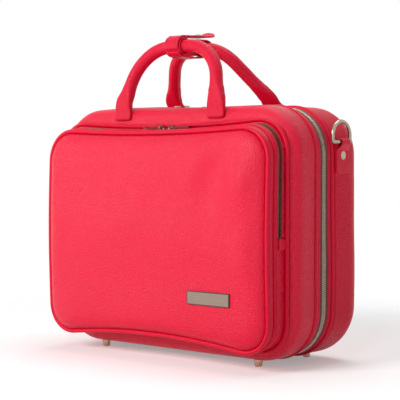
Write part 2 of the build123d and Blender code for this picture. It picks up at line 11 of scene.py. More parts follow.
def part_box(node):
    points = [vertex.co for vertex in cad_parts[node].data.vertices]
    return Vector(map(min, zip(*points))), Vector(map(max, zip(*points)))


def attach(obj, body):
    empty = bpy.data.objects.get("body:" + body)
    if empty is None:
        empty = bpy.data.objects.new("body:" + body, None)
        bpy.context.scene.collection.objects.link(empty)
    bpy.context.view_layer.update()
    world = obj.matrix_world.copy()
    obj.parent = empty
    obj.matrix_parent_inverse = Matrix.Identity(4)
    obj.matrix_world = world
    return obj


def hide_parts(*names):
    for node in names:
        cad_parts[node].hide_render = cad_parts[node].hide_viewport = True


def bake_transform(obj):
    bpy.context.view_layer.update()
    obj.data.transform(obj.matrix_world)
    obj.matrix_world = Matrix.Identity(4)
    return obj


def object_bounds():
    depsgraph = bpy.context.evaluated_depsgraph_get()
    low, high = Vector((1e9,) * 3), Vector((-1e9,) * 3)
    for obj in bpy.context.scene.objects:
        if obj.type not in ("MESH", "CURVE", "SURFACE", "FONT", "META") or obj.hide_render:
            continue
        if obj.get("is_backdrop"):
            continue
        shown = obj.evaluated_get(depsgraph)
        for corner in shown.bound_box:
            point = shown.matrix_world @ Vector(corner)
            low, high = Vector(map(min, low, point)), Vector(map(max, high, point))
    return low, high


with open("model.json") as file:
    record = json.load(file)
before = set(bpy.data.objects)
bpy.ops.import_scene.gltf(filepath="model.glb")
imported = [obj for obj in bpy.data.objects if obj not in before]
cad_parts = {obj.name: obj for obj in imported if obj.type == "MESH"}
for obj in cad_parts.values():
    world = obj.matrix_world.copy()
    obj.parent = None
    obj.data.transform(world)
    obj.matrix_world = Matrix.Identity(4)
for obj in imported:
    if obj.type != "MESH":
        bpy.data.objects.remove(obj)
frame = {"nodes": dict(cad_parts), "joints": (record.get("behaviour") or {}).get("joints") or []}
cad_low, cad_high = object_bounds()
MM = 0.001

# Shapes below are worked out in millimetres and become metres where their mesh is made


def box_mm(node):
    low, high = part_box(node)
    return low / MM, high / MM


# Sizes read from the frame
front_low, front_high = box_mm("front_cover")
rear_low, rear_high = box_mm("rear_cover")
ZIP_Y = (box_mm("front_zip_row")[1].y + box_mm("rear_zip_row")[0].y) / 2
HALF_WIDTH = front_high.x
BASE_Z, TOP_Z = front_low.z, front_high.z
HALF_HEIGHT = (TOP_Z - BASE_Z) / 2
MIDDLE_Z = (TOP_Z + BASE_Z) / 2
FRONT_FACE, REAR_FACE = front_low.y, rear_high.y
FRONT_RIM, REAR_RIM = front_high.y, rear_low.y
PIPING_Y = sum(corner.y for corner in box_mm("pocket_upper_piping")) / 2
PANEL_FACE = box_mm("pocket_upper_panel")[0].y
SPLIT_Z = (box_mm("pocket_upper_panel")[0].z + box_mm("pocket_lower_panel")[1].z) / 2
POCKET_ZIP_Y = (box_mm("pocket_zip_row_front")[1].y + box_mm("pocket_zip_row_rear")[0].y) / 2
POCKET_DEPTH = FRONT_FACE - PIPING_Y

# Sizes of the case that the frame's boxes don't tell
CORNER = 53.0
FRONT_EDGE, REAR_EDGE = 14.0, 25.0
COVER_THICKNESS = 3.0
WELT_RADIUS = 2.0
BAND_INSET = 1.2
PIPING_RADIUS = 2.4
INNER_PIPING_RADIUS = 1.9
INNER_PIPING_BACK = 10.3
POCKET_CORNER = 38.0
POCKET_SIDE_MARGIN = 9.3
POCKET_SIDE_SLANT = 3.3
POCKET_BOTTOM_RISE = 7.2
POCKET_TOP_DROP = 12.4
POCKET_TOP_SLANT = 8.6
POCKET_BOTTOM_BOW = 13.0
POCKET_TOP_BOWS = (8.5, 6.0)
POCKET_WALL_GROW = -1.5
POCKET_WALL_THICKNESS = 2.2
POCKET_SWAY = 3.5
BADGE_CENTRE = sum(box_mm("badge_plate"), Vector()) / 2

# How the soft case departs from its true shape
LEFT_BELLY, RIGHT_BELLY = 2.2, 1.2
CORNER_SINK, TOP_CROWN = 2.6, 2.2
UNEVEN = 0.35
CRUMPLE_FROM = (146, 162)

# How finely the skins are divided
FILLET_STEPS = WALL_STEPS = 8
SMALLEST_CORNER = 1e-3


# Meshes
def new_object(name, data):
    thing = bpy.data.objects.new(name, data)
    bpy.context.scene.collection.objects.link(thing)
    return thing


def mesh_from(name, shape):
    """Mesh with the edited shape, which is given up."""
    mesh = bpy.data.meshes.new(name)
    shape.to_mesh(mesh)
    shape.free()
    return mesh


def make_piece(name, points, faces, material, closed=True):
    """Smooth mesh from points in millimetres; a closed one has its normals turned outwards."""
    mesh = bpy.data.meshes.new(name)
    mesh.from_pydata([Vector(point) * MM for point in points], [], faces)
    if closed:
        shape = bmesh.new()
        shape.from_mesh(mesh)
        bmesh.ops.recalc_face_normals(shape, faces=shape.faces)
        shape.to_mesh(mesh)
        shape.free()
    mesh.shade_smooth()
    mesh.materials.append(material)
    return new_object(name, mesh)


def bake_modifiers(piece):
    """The piece's modifiers become part of its plain mesh."""
    graph = bpy.context.evaluated_depsgraph_get()
    mesh = bpy.data.meshes.new_from_object(piece.evaluated_get(graph))
    piece.modifiers.clear()
    piece.data = mesh
    return piece


def thicken(piece, thickness, inside=None):
    """Gives an open skin its wall, inwards; the inner face may have a material of its own."""
    wall = piece.modifiers.new("wall", "SOLIDIFY")
    wall.thickness = thickness * MM
    wall.offset = -1
    wall.use_even_offset = True
    if inside:
        piece.data.materials.append(inside)
        wall.material_offset = 1
    return bake_modifiers(piece)


def around(half_x, half_z, radius, distance):
    """Point of a rounded rectangle, by the distance round it from the middle of its lower side."""
    quarter = radius * math.pi / 4
    lengths = (half_x - radius + quarter, half_z - radius + quarter)
    turn = sum(lengths)
    distance = (distance + lengths[0]) % (4 * turn) - lengths[0]
    side = 0
    while distance > lengths[side % 2]:
        distance -= turn
        side += 1
    along, out = (half_x, half_z) if side % 2 == 0 else (half_z, half_x)
    straight = along - radius
    angle = max(0.0, abs(distance) - straight) / max(radius, 1e-6)
    across = math.copysign(min(abs(distance), straight) + radius * math.sin(angle), distance)
    out -= radius * (1 - math.cos(angle))
    return ((across, -out), (out, across), (-across, out), (-out, -across))[side % 4]


def perimeter(half_x, half_z, radius):
    return 4 * (half_x + half_z - 2 * radius) + 2 * math.pi * radius


def side_point(side, share, half_x, half_z, radius):
    """Point at a share, -1 to 1, of a rounded rectangle's side, from mid-corner to mid-corner."""
    quarter = radius * math.pi / 4
    lengths = (half_x - radius + quarter, half_z - radius + quarter)
    return around(half_x, half_z, radius, side * sum(lengths) + share * lengths[side % 2])


def grid_skin(per_side, bands, point, backwards=False):
    """Points and faces of an open skin: a square grid over its face, then bands out to its rim.

    point(side, share, ring) gives a place: ring is 0 to 1 on the face, and 2, 3, ... on the bands.
    """
    half = per_side // 2
    points, faces, index = [], [], {}
    for i in range(per_side + 1):
        for j in range(per_side + 1):
            across, up = i - half, j - half
            ring = max(abs(across), abs(up))
            side, share = 3, -up / max(ring, 1)
            if up == -ring and across < ring:
                side, share = 0, across / ring
            elif across == ring and up < ring:
                side, share = 1, up / ring
            elif up == ring and across > -ring:
                side, share = 2, -across / ring
            index[i, j] = len(points)
            points.append(point(side, share, ring / half))
    for i in range(per_side):
        for j in range(per_side):
            faces.append((index[i, j], index[i + 1, j], index[i + 1, j + 1], index[i, j + 1]))
    loop = [index[i, 0] for i in range(per_side)]
    loop += [index[per_side, j] for j in range(per_side)]
    loop += [index[i, per_side] for i in range(per_side, 0, -1)]
    loop += [index[0, j] for j in range(per_side, 0, -1)]
    for band in range(bands):
        first = len(points)
        for side in range(4):
            for step in range(per_side):
                points.append(point(side, 2 * step / per_side - 1, band + 2))
        outer = list(range(first, len(points)))
        for k in range(len(loop)):
            after = (k + 1) % len(loop)
            faces.append((loop[k], outer[k], outer[after], loop[after]))
        loop = outer
    if backwards:
        faces = [face[::-1] for face in faces]
    return points, faces


def loft(sections, closed_path):
    """Points and faces of a solid through closed sections with the same number of points."""
    count = len(sections[0])
    points = [point for section in sections for point in section]
    faces = []
    spans = len(sections) if closed_path else len(sections) - 1
    for span in range(spans):
        start, end = span * count, (span + 1) % len(sections) * count
        for k in range(count):
            after = (k + 1) % count
            faces.append((start + k, start + after, end + after, end + k))
    if not closed_path:
        faces.append(tuple(range(count)))
        faces.append(tuple(range(len(points) - count, len(points))))
    return points, faces


def ring_section(width, depth, squareness, count):
    """Closed outline round (0, 0), from an ellipse at squareness 2 to nearly a rectangle at 8."""
    section = []
    for k in range(count):
        angle = 2 * math.pi * k / count
        cosine, sine = math.cos(angle), math.sin(angle)
        section.append((math.copysign(abs(cosine) ** (2 / squareness), cosine) * width / 2,
                        math.copysign(abs(sine) ** (2 / squareness), sine) * depth / 2))
    return section


def directions(path, closed):
    """Direction of a path at each of its points, not yet of length 1."""
    if closed:
        before, after = [path[-1], *path[:-1]], [*path[1:], path[0]]
    else:
        before, after = [path[0], *path[:-1]], [*path[1:], path[-1]]
    return [end - start for start, end in zip(before, after)]


def carry(path, section, closed):
    """Sections along a path that lies about across Y: first value outwards, second along Y."""
    sections = []
    for place, along in zip(path, directions(path, closed)):
        outwards = Vector((0, 1, 0)).cross(along).normalized()
        sections.append([place + outwards * out + Vector((0, back, 0)) for out, back in section])
    return loft(sections, closed)


def wave(place, size, seed):
    """Soft unevenness between about -1 and 1, with bumps of the given size."""
    return noise.noise(place / size + Vector((seed * 7.3, seed * 3.1, seed * 5.7))) * 1.6


def between(ends, share):
    return ends[0] + (ends[1] - ends[0]) * share


def smooth_step(value, low, high):
    share = min(1.0, max(0.0, (value - low) / (high - low)))
    return share * share * (3 - 2 * share)


def hump(value, low, high):
    """0 outside the limits and 1 midway between them."""
    share = (value - low) / (high - low)
    return math.sin(math.pi * share) ** 2 if 0 < share < 1 else 0.0


# Camera and light
CAMERA_PLACE = Vector((0.9411, -1.0731, 0.2182))
CAMERA_TURN = math.radians(41.01)
CAMERA_DIP = math.radians(1.99)
CAMERA_LENS = 113.1
CAMERA_SHIFT = 0.0124
SENSOR_WIDTH = 36
AIM = Vector((0, 0, 0.16))
WHITE = (1.0, 1.0, 1.0)
FLOOR_REACH = 6.0
SHADOW_REACH = (0.30, 0.70)
PAPER = 0.88
NEAR_GLOW = 0.31


def make_camera():
    data = bpy.data.cameras.new("camera")
    data.lens = CAMERA_LENS
    data.sensor_width = SENSOR_WIDTH
    data.shift_y = CAMERA_SHIFT
    camera = new_object("camera", data)
    camera.location = CAMERA_PLACE
    camera.rotation_euler = (math.pi / 2 - CAMERA_DIP, 0, CAMERA_TURN)
    bpy.context.scene.camera = camera


def softbox(name, place, size, power):
    data = bpy.data.lights.new(name, "AREA")
    data.shape = "RECTANGLE"
    data.size, data.size_y = size
    data.energy = power
    lamp = new_object(name, data)
    lamp.location = place
    lamp.rotation_euler = (AIM - Vector(place)).to_track_quat("-Z", "Y").to_euler()


# Materials
def adder(tree, family="ShaderNode"):
    """Function that adds a node, with its inputs in order or by name, and its settings by name.

    A node or a socket that is given for an input is linked to it.
    """
    def fill(socket, value):
        if hasattr(value, "outputs"):
            value = value.outputs[0]
        if isinstance(value, bpy.types.NodeSocket):
            tree.links.new(value, socket)
        elif value is not None:
            socket.default_value = value

    def add(kind, *values, **named):
        node = tree.nodes.new(kind if kind.startswith("NodeGroup") else family + kind)
        for key, value in named.items():
            label = key.replace("_", " ")
            if label in node.inputs:
                fill(node.inputs[label], value)
            else:
                setattr(node, key, value)
        for socket, value in zip(node.inputs, values):
            fill(socket, value)
        return node
    return add


def new_material(name):
    material = bpy.data.materials.new(name)
    material.use_nodes = True
    material.node_tree.nodes.clear()
    return material, adder(material.node_tree)


def finished(material, add, height=None, depth=0.0, strength=1.0, **looks):
    """The material with its Principled shader, and with relief where it has a height."""
    if height is not None:
        looks["Normal"] = add("Bump", Strength=strength, Distance=depth, Height=height)
    add("OutputMaterial", add("BsdfPrincipled", **looks))
    return material


def opaque(colour, share=1.0):
    """The colour, or a share of it, as a node takes it."""
    return (*(min(1.0, channel * share) for channel in colour), 1)


def on_surface(add):
    return add("TexCoord").outputs["Object"]


def seen_rays(add):
    """1 for the rays that look at the surroundings directly, by mirror or through glass."""
    path = add("LightPath").outputs
    either = add("Math", path["Is Camera Ray"], path["Is Glossy Ray"], operation="MAXIMUM")
    return add("Math", either, path["Is Transmission Ray"], operation="MAXIMUM")


def make_world(fill):
    world = bpy.data.worlds.new("studio")
    bpy.context.scene.world = world
    world.use_nodes = True
    world.node_tree.nodes.clear()
    add = adder(world.node_tree)
    strength = add("MapRange", seen_rays(add), To_Min=fill, To_Max=1.0)
    add("OutputWorld", add("Background", Color=opaque(WHITE), Strength=strength))


def make_floor():
    """White floor that keeps the soft shadow near the case and is plain white further out."""
    material, add = new_material("floor")
    spread = add("VectorMath", on_surface(add), operation="LENGTH")
    far = add("MapRange", spread.outputs["Value"], interpolation_type="SMOOTHSTEP",
              From_Min=SHADOW_REACH[0], From_Max=SHADOW_REACH[1])
    glow = add("Math", seen_rays(add), NEAR_GLOW, operation="MULTIPLY")
    paper = add("BsdfDiffuse", Color=opaque(WHITE, PAPER))
    lit = add("AddShader", paper, add("Emission", Strength=glow))
    add("OutputMaterial", add("MixShader", far, lit, add("Emission", Strength=1.0)))
    mesh = bpy.data.meshes.new("floor")
    signs = ((-1, -1), (1, -1), (1, 1), (-1, 1))
    corners = [(x * FLOOR_REACH, y * FLOOR_REACH, 0) for x, y in signs]
    mesh.from_pydata(corners, [], [(0, 1, 2, 3)])
    mesh.materials.append(material)
    new_object("floor", mesh)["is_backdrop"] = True


def new_group(name, inputs, outputs):
    """Shader node group with number inputs, given with their values, and number outputs."""
    group = bpy.data.node_groups.new(name, "ShaderNodeTree")
    for label, value in inputs.items():
        socket = group.interface.new_socket(label, in_out="INPUT", socket_type="NodeSocketFloat")
        socket.default_value = value
    for label in outputs:
        group.interface.new_socket(label, in_out="OUTPUT", socket_type="NodeSocketFloat")
    add = adder(group)
    return group, add, add("NodeGroupInput").outputs


def make_grain_group():
    """Pebble grain of soft leather: rounded cells with creases between them, over slow waves."""
    group, add, sizes = new_group("pebble_grain", {"Cell": 0.0017, "Waves": 0.25},
                                  ("Height", "Crease", "Patch"))
    place = on_surface(add)
    per_metre = add("Math", 1.0, sizes["Cell"], operation="DIVIDE")
    scaled = add("VectorMath", place, operation="SCALE", Scale=per_metre)
    stir = add("TexNoise", Vector=scaled, Scale=0.9, Detail=2.0)
    stirred = add("MixRGB", 0.35, scaled, stir.outputs["Color"], blend_type="LINEAR_LIGHT")
    cells = add("TexVoronoi", feature="SMOOTH_F1", Vector=stirred, Scale=1.0, Smoothness=0.35,
                Randomness=0.9)
    pebble = add("MapRange", cells.outputs["Distance"], interpolation_type="SMOOTHSTEP",
                 From_Min=0.25, From_Max=0.85, To_Min=1.0, To_Max=0.0)
    fine = add("TexNoise", Vector=scaled, Scale=3.2, Detail=3.0)
    slow = add("TexNoise", Vector=place, Scale=14.0, Detail=2.0)
    add("NodeGroupOutput", Height=add("Math", fine, 0.25, pebble, operation="MULTIPLY_ADD"),
        Crease=add("Math", 1.0, pebble, operation="SUBTRACT"),
        Patch=add("Math", slow, sizes["Waves"], operation="MULTIPLY"))
    return group


def leather(name, colour, cell, depth, roughness, specular):
    """Grained leather: creases rougher and darkened with painted shade, with slow patches of tone.
    """
    material, add = new_material(name)
    grain = add("Group", node_tree=grain_group, Cell=cell).outputs
    # Painted shade: the grain's creases are darkened; the slow patches add tone at random
    darker = add("Math", grain["Crease"], 0.45, grain["Patch"], operation="MULTIPLY_ADD")
    return finished(material, add, grain["Height"], depth, Specular_IOR_Level=specular,
                    Base_Color=add("MixRGB", darker, opaque(colour), opaque(colour, 0.72)),
                    Roughness=add("MapRange", grain["Crease"], To_Min=roughness - 0.06,
                                  To_Max=roughness + 0.16))


# Outline of the case
def case_path(inset, y, start=0.0, end=None, step=3.0):
    """Points round the case at one depth, by distance from the middle of the bottom."""
    shape = (HALF_WIDTH - inset, HALF_HEIGHT - inset, CORNER - inset)
    closed = end is None
    end = perimeter(*shape) if closed else end
    count = round((end - start) / step)
    stops = [start + (end - start) * k / count for k in range(count if closed else count + 1)]
    return [case_place(Vector((x, y, MIDDLE_Z + z)))
            for x, z in (around(*shape, stop) for stop in stops)]


def case_place(place):
    """The soft case is not quite true: its sides belly, and its top sags and swells."""
    x, y, z = place
    in_front = smooth_step(y, ZIP_Y + 12, ZIP_Y - 12)
    to_left, at_rear = smooth_step(x, -90, -HALF_WIDTH), 1 - in_front
    x -= LEFT_BELLY * in_front * to_left * hump(z, BASE_Z + 10, TOP_Z - 10)
    x += RIGHT_BELLY * at_rear * smooth_step(x, 120, HALF_WIDTH) * hump(z, BASE_Z, TOP_Z - 90)
    corner = smooth_step(x, -110, -HALF_WIDTH) * smooth_step(z, MIDDLE_Z + 40, TOP_Z)
    z -= CORNER_SINK * corner * in_front
    z += TOP_CROWN * in_front * hump(x, -165, 30) * smooth_step(z, TOP_Z - 60, TOP_Z)
    return Vector((x, y, z))


def band_along(name, path, thickness, width, material, closed=True, count=16):
    """Leather or woven band on the case, along a path."""
    section = ring_section(thickness, width, 6, count)
    return make_piece(name, *carry(path, section, closed), material)


def cord_along(name, path, radius, count, material):
    """Raised cord that runs all the way round."""
    section = ring_section(2 * radius, 2 * radius, 2, count)
    return make_piece(name, *carry(path, section, True), material)


def make_shell(name, per_side, face_y, rim_y, edge, sunk, thickness, material, soften=None):
    """Tray-shaped skin of a half: face, rounded edge and wall; its thickness goes inwards."""
    inwards = 1 if rim_y > face_y else -1
    reach = abs(rim_y - face_y)

    def point(side, share, ring):
        inset, depth = edge, 0.0
        if ring > 1:
            angle = min((ring - 1) / FILLET_STEPS, 1.0) * math.pi / 2
            inset = edge * (1 - math.sin(angle))
            depth = edge * (1 - math.cos(angle))
            depth += max(0.0, ring - 1 - FILLET_STEPS) / WALL_STEPS * (reach - edge)
        scale = min(ring, 1.0)
        x, z = side_point(side, share, (HALF_WIDTH - sunk - inset) * scale,
                          (HALF_HEIGHT - sunk - inset) * scale,
                          max((CORNER - sunk - inset) * scale, SMALLEST_CORNER))
        place = Vector((x, face_y + inwards * depth, MIDDLE_Z + z))
        return soften(place, scale, reach - depth, inwards) if soften else place

    points, faces = grid_skin(per_side, FILLET_STEPS + WALL_STEPS, point, backwards=inwards < 0)
    return thicken(make_piece(name, points, faces, material, closed=False), thickness)


def make_cover(name, face_y, rim_y, edge, crown, seed, material):
    """Padded leather cover of one half: crowned, and a little uneven away from its rim."""
    def soften(place, ring, to_rim, inwards):
        uneven_side = math.copysign(UNEVEN, place.x)
        place = case_place(place)
        on_face = smooth_step(1 - ring, 0, 0.9)
        free = smooth_step(to_rim, 0, 14)
        place.y -= inwards * (crown * on_face + UNEVEN * free * wave(place, 55, seed))
        place.x += uneven_side * free * wave(place, 60, seed + 1) * (1 - on_face)
        return place

    return make_shell(name, 72, face_y, rim_y, edge, 0.0, COVER_THICKNESS, material, soften)


# Pocket on the front
def pocket_shape(share, grow):
    """Half width, half height and middle height of the pocket, at a share of its depth."""
    half = HALF_WIDTH - POCKET_SIDE_MARGIN - POCKET_SIDE_SLANT * share + grow
    low = BASE_Z + POCKET_BOTTOM_RISE - grow
    top = TOP_Z - POCKET_TOP_DROP - POCKET_TOP_SLANT * share + grow
    return half, (top - low) / 2, (top + low) / 2


def pocket_place(x, z, share, grow):
    """Place of a point of the pocket's outline, with its bowed edges and its forward belly."""
    half, half_height, middle = pocket_shape(share, grow)
    rise = (z + half_height) / (2 * half_height)
    arch = max(0.0, 1 - (x / half) ** 2)
    top_bow = between(POCKET_TOP_BOWS, share)
    up = z + arch * (POCKET_BOTTOM_BOW * (1 - rise) - top_bow * rise)
    belly = POCKET_SWAY * share * hump(middle + up, BASE_Z - 20, TOP_Z + 10)
    return Vector((x, FRONT_FACE - POCKET_DEPTH * share - belly, middle + up))


def pocket_stop(share, grow, distance):
    half, half_height, middle = pocket_shape(share, grow)
    x, z = around(half, half_height, POCKET_CORNER + grow, distance)
    return pocket_place(x, z, share, grow)


def split_distance(share, grow):
    """Distance round the pocket from the middle of its bottom up to the split."""
    half, half_height, middle = pocket_shape(share, grow)
    radius = POCKET_CORNER + grow
    return half - radius + radius * math.pi / 2 + SPLIT_Z - (middle - half_height + radius)


def pocket_stops(part, share, grow, count):
    """Distances round the whole pocket, or its part above or below the split."""
    half, half_height, _ = pocket_shape(share, grow)
    whole = perimeter(half, half_height, POCKET_CORNER + grow)
    split = split_distance(share, grow)
    start, end = {"all": (0, whole), "upper": (split, whole - split),
                  "lower": (-split, split)}[part]
    last = count if part == "all" else count - 1
    return [between((start, end), k / last) for k in range(count)]


def pocket_line(part, share, grow, count):
    """Line round the pocket, or a part of it, at a share of its depth."""
    return [pocket_stop(share, grow, stop) for stop in pocket_stops(part, share, grow, count)]


def pocket_strip(name, part, shares, thickness, material, grow=POCKET_WALL_GROW, count=240,
                 rows=5, crumple=0.0, seed=0):
    """Leather strip of the pocket's side wall between two shares of its depth.

    A crumpled one is creased as soft leather is where it bends.
    """
    levels = [m / (rows - 1) for m in range(rows)]
    outer = [(level, share, pocket_stops(part, share, grow, count))
             for level, share in ((level, between(shares, level)) for level in levels)]
    inner = [(share, pocket_stops(part, share, grow - thickness, count)) for share in shares[::-1]]
    sections = []
    for k in range(count):
        section = []
        for level, share, stops in outer:
            place = pocket_stop(share, grow, stops[k])
            if crumple:
                free = smooth_step(abs(place.x), *CRUMPLE_FROM) * math.sin(math.pi * level)
                fold = abs(wave(Vector((place.x, place.y * 2.2, place.z)), 8, seed)) * 1.3 - 0.55
                place = pocket_stop(share, grow + crumple * free * fold, stops[k])
            section.append(place)
        section += [pocket_stop(share, grow - thickness, stops[k]) for share, stops in inner]
        sections.append(section)
    return make_piece(name, *loft(sections, part == "all"), material)


def share_at(y):
    return (FRONT_FACE - y) / POCKET_DEPTH


PANEL_GROW = -(PIPING_RADIUS * 1.5 + 0.3)
PANEL_STEPS = 4
PANEL_THICKNESS = 3.0
FOLD_HEIGHT, FOLD_PITCH = 2.6, 9.5
FOLD_MIDDLE = (120, 215)
EDGE_ROLL = 2.4
PANEL_DENT = 1.9
PANEL_WAVE = 1.1


def panel_folds(x, z):
    """Soft folds of the padded panel, mostly toward its upper right corner."""
    corner = smooth_step(x, 10, 140) * smooth_step(z, 120, 235)
    right, up = x - FOLD_MIDDLE[0], z - FOLD_MIDDLE[1]
    along, across = right * 0.62 + up * 0.78, right * 0.78 - up * 0.62
    bend = math.sin(across / FOLD_PITCH + 0.8 * math.sin(along / 30))
    fold = FOLD_HEIGHT * corner * bend * hump(along, -95, 35)
    edge = EDGE_ROLL * hump(x, 112, 158) * smooth_step(z, 60, 120) * smooth_step(z, 240, 190)
    dent = PANEL_DENT * hump(x, 60, 125) * hump(z, 110, 250)
    return fold + edge - dent + PANEL_WAVE * wave(Vector((x, 0, z)), 62, 3)


def make_panel(material, inside):
    """Padded front of the pocket, in one piece over the fold of the flap."""
    back_y = PIPING_Y + PIPING_RADIUS
    crown = back_y - PANEL_FACE
    half, half_height, _ = pocket_shape(1.0, PANEL_GROW)
    radius = POCKET_CORNER + PANEL_GROW

    def point(side, share, ring):
        scale = min(ring, 1.0)
        x, z = side_point(side, share, half * scale, half_height * scale,
                          max(radius * scale, SMALLEST_CORNER))
        place = pocket_place(x, z, 1.0, PANEL_GROW)
        belly = PIPING_Y - place.y
        if ring > 1:
            place.y = back_y - crown * 0.3 * (1 - (ring - 1) / PANEL_STEPS) - belly
            return place
        inset = (1 - ring) * half_height
        from_badge = math.hypot(place.x - BADGE_CENTRE.x, (place.z - BADGE_CENTRE.z) * 1.4)
        folds = panel_folds(place.x, place.z) * smooth_step(inset, 0, 14)
        bulge = belly * (0.35 + 0.65 * math.exp(-inset / 25)) + folds
        bulge *= smooth_step(from_badge, 30, 75)
        place.y = back_y - crown * (1 - 0.7 * math.exp(-inset / 6)) - bulge
        return place

    points, faces = grid_skin(110, PANEL_STEPS, point)
    piece = make_piece("pocket_panel", points, faces, material, closed=False)
    return thicken(piece, PANEL_THICKNESS, inside)


# Paths through space
def joint_place(name):
    joint = next(joint for joint in frame["joints"] if joint["name"] == name)
    return Vector(joint["pos_m"]) / MM


def rounded_line(corners, radius):
    """Points along straight runs joined by arcs of one radius."""
    points = [corners[0]]
    for before, corner, after in zip(corners, corners[1:], corners[2:]):
        come, leave = (before - corner).normalized(), (after - corner).normalized()
        half = come.angle(leave) / 2
        middle = corner + (come + leave).normalized() * (radius / math.sin(half))
        start = corner + come * (radius / math.tan(half)) - middle
        end = corner + leave * (radius / math.tan(half)) - middle
        points += [middle + start.slerp(end, step / 24).normalized() * radius for step in range(25)]
    return points + [corners[-1]]


def arc_points(centre, radius, start, end, count=14):
    """Points of an arc across X, by angles in degrees from +Y towards +Z."""
    angles = [math.radians(start + (end - start) * k / (count - 1)) for k in range(count)]
    return [centre + Vector((0, math.cos(angle), math.sin(angle))) * radius for angle in angles]


def line_length(path):
    return sum((after - before).length for before, after in zip(path, path[1:]))


def even(path, step):
    """The same line with evenly spaced points, about a step apart."""
    total = line_length(path)
    count = max(2, round(total / step))
    result, travelled, k = [], 0.0, 0
    for stop in (total * n / count for n in range(count + 1)):
        while k < len(path) - 2 and travelled + (path[k + 1] - path[k]).length < stop:
            travelled += (path[k + 1] - path[k]).length
            k += 1
        run = (path[k + 1] - path[k]).length
        result.append(path[k].lerp(path[k + 1], min(1.0, (stop - travelled) / max(run, 1e-6))))
    return result


def eased(path, rounds):
    """The line with its corners softened; its ends stay."""
    for _ in range(rounds):
        middle = [(before + 2 * place + after) / 4
                  for before, place, after in zip(path, path[1:], path[2:])]
        path = [path[0], *middle, path[-1]]
    return path


def frames_along(path, out, closed=False):
    """Place, direction, side, outward direction and distance so far, without twist."""
    frames, travelled, last = [], 0.0, path[0]
    for place, along in zip(path, directions(path, closed)):
        along = along.normalized()
        out = (out - along * out.dot(along)).normalized()
        travelled += (place - last).length
        last = place
        frames.append((place, along, along.cross(out), out, travelled))
    return frames


def sweep(frames, section_at, closed=False):
    """Solid along a path: a section's first value goes to the side, its second outwards."""
    return loft([[place + side * across + out * up for across, up in section_at(travelled, place)]
                 for place, along, side, out, travelled in frames], closed)


# What repeats: teeth and stitches
def make_repeat_tree():
    """One shape on every point of a mesh, turned by the point's two directions."""
    tree = bpy.data.node_groups.new("repeat_shape", "GeometryNodeTree")
    for label, kind in {"Geometry": "Geometry", "Shape": "Object", "Length": "Float",
                        "Width": "Float", "Height": "Float", "Unevenness": "Float",
                        "Seed": "Int", "Finish": "Material"}.items():
        tree.interface.new_socket(label, in_out="INPUT", socket_type="NodeSocket" + kind)
    tree.interface.new_socket("Geometry", in_out="OUTPUT", socket_type="NodeSocketGeometry")
    add, add_shader_node = adder(tree, "GeometryNode"), adder(tree)
    add_function = adder(tree, "FunctionNode")
    given = add("NodeGroupInput").outputs
    out, along = (next(output for output in add("InputNamedAttribute", data_type="FLOAT_VECTOR",
                                                Name=label).outputs if output.enabled)
                  for label in ("out", "along"))
    turn = add_function("AxesToRotation", primary_axis="Z", secondary_axis="X",
                        Primary_Axis=out, Secondary_Axis=along)
    size = add_shader_node("CombineXYZ", given["Length"], given["Width"], given["Height"])
    least = add_shader_node("Math", 1.0, given["Unevenness"], operation="SUBTRACT")
    chance = add_function("RandomValue", None, None, least, 1.0, Seed=given["Seed"])
    share = next(output for output in chance.outputs if output.enabled)
    scaled = add_shader_node("VectorMath", size, operation="SCALE", Scale=share)
    shape = add("ObjectInfo", Object=given["Shape"]).outputs["Geometry"]
    placed = add("InstanceOnPoints", given["Geometry"], Instance=shape, Rotation=turn, Scale=scaled)
    finish = add("SetMaterial", add("RealizeInstances", placed), Material=given["Finish"])
    add("NodeGroupOutput", finish)
    return tree


def small_block(name, softness):
    """Unit block with cut edges, to be set many times."""
    shape = bmesh.new()
    bmesh.ops.create_cube(shape, size=1.0)
    bmesh.ops.bevel(shape, geom=shape.edges[:], offset=softness, segments=1, affect="EDGES")
    return new_object(name, mesh_from(name, shape))


def repeat(name, shape, spots, sizes, material, unevenness, seed):
    """The shape on every spot, which is a place, a direction along and one outwards."""
    mesh = bpy.data.meshes.new(name)
    mesh.from_pydata([place * MM for place, along, out in spots], [], [])
    for label, index in (("along", 1), ("out", 2)):
        values = mesh.attributes.new(label, "FLOAT_VECTOR", "POINT")
        values.data.foreach_set("vector", [value for spot in spots for value in spot[index]])
    piece = new_object(name, mesh)
    modifier = piece.modifiers.new("repeat", "NODES")
    modifier.node_group = repeat_tree
    length, width, height = (size * MM for size in sizes)
    settings = {"Shape": shape, "Length": length, "Width": width, "Height": height,
                "Unevenness": unevenness, "Seed": seed, "Finish": material}
    for socket in repeat_tree.interface.items_tree:
        if socket.in_out == "INPUT" and socket.name in settings:
            modifier[socket.identifier] = settings[socket.name]
    piece.update_tag()
    return bake_modifiers(piece)


def row_spots(path, pitch, shift=0.0):
    """Evenly spaced spots along a path that lies across Y, facing away from its middle."""
    path = even(path, pitch)
    spots = []
    for k in range(len(path) - 1):
        along = (path[k + 1] - path[k]).normalized()
        place = path[k].lerp(path[k + 1], 0.25 + shift)
        spots.append((place, along, Vector((0, 1, 0)).cross(along)))
    return spots


def seam_spots(frames, start, end, pitch, across, up):
    """Spots for stitches between two distances along a swept piece."""
    spots, wanted = [], start
    for place, along, side, out, travelled in frames:
        if travelled >= wanted and travelled <= end:
            spots.append((place + side * across + out * up, along, out))
            wanted += pitch
    return spots


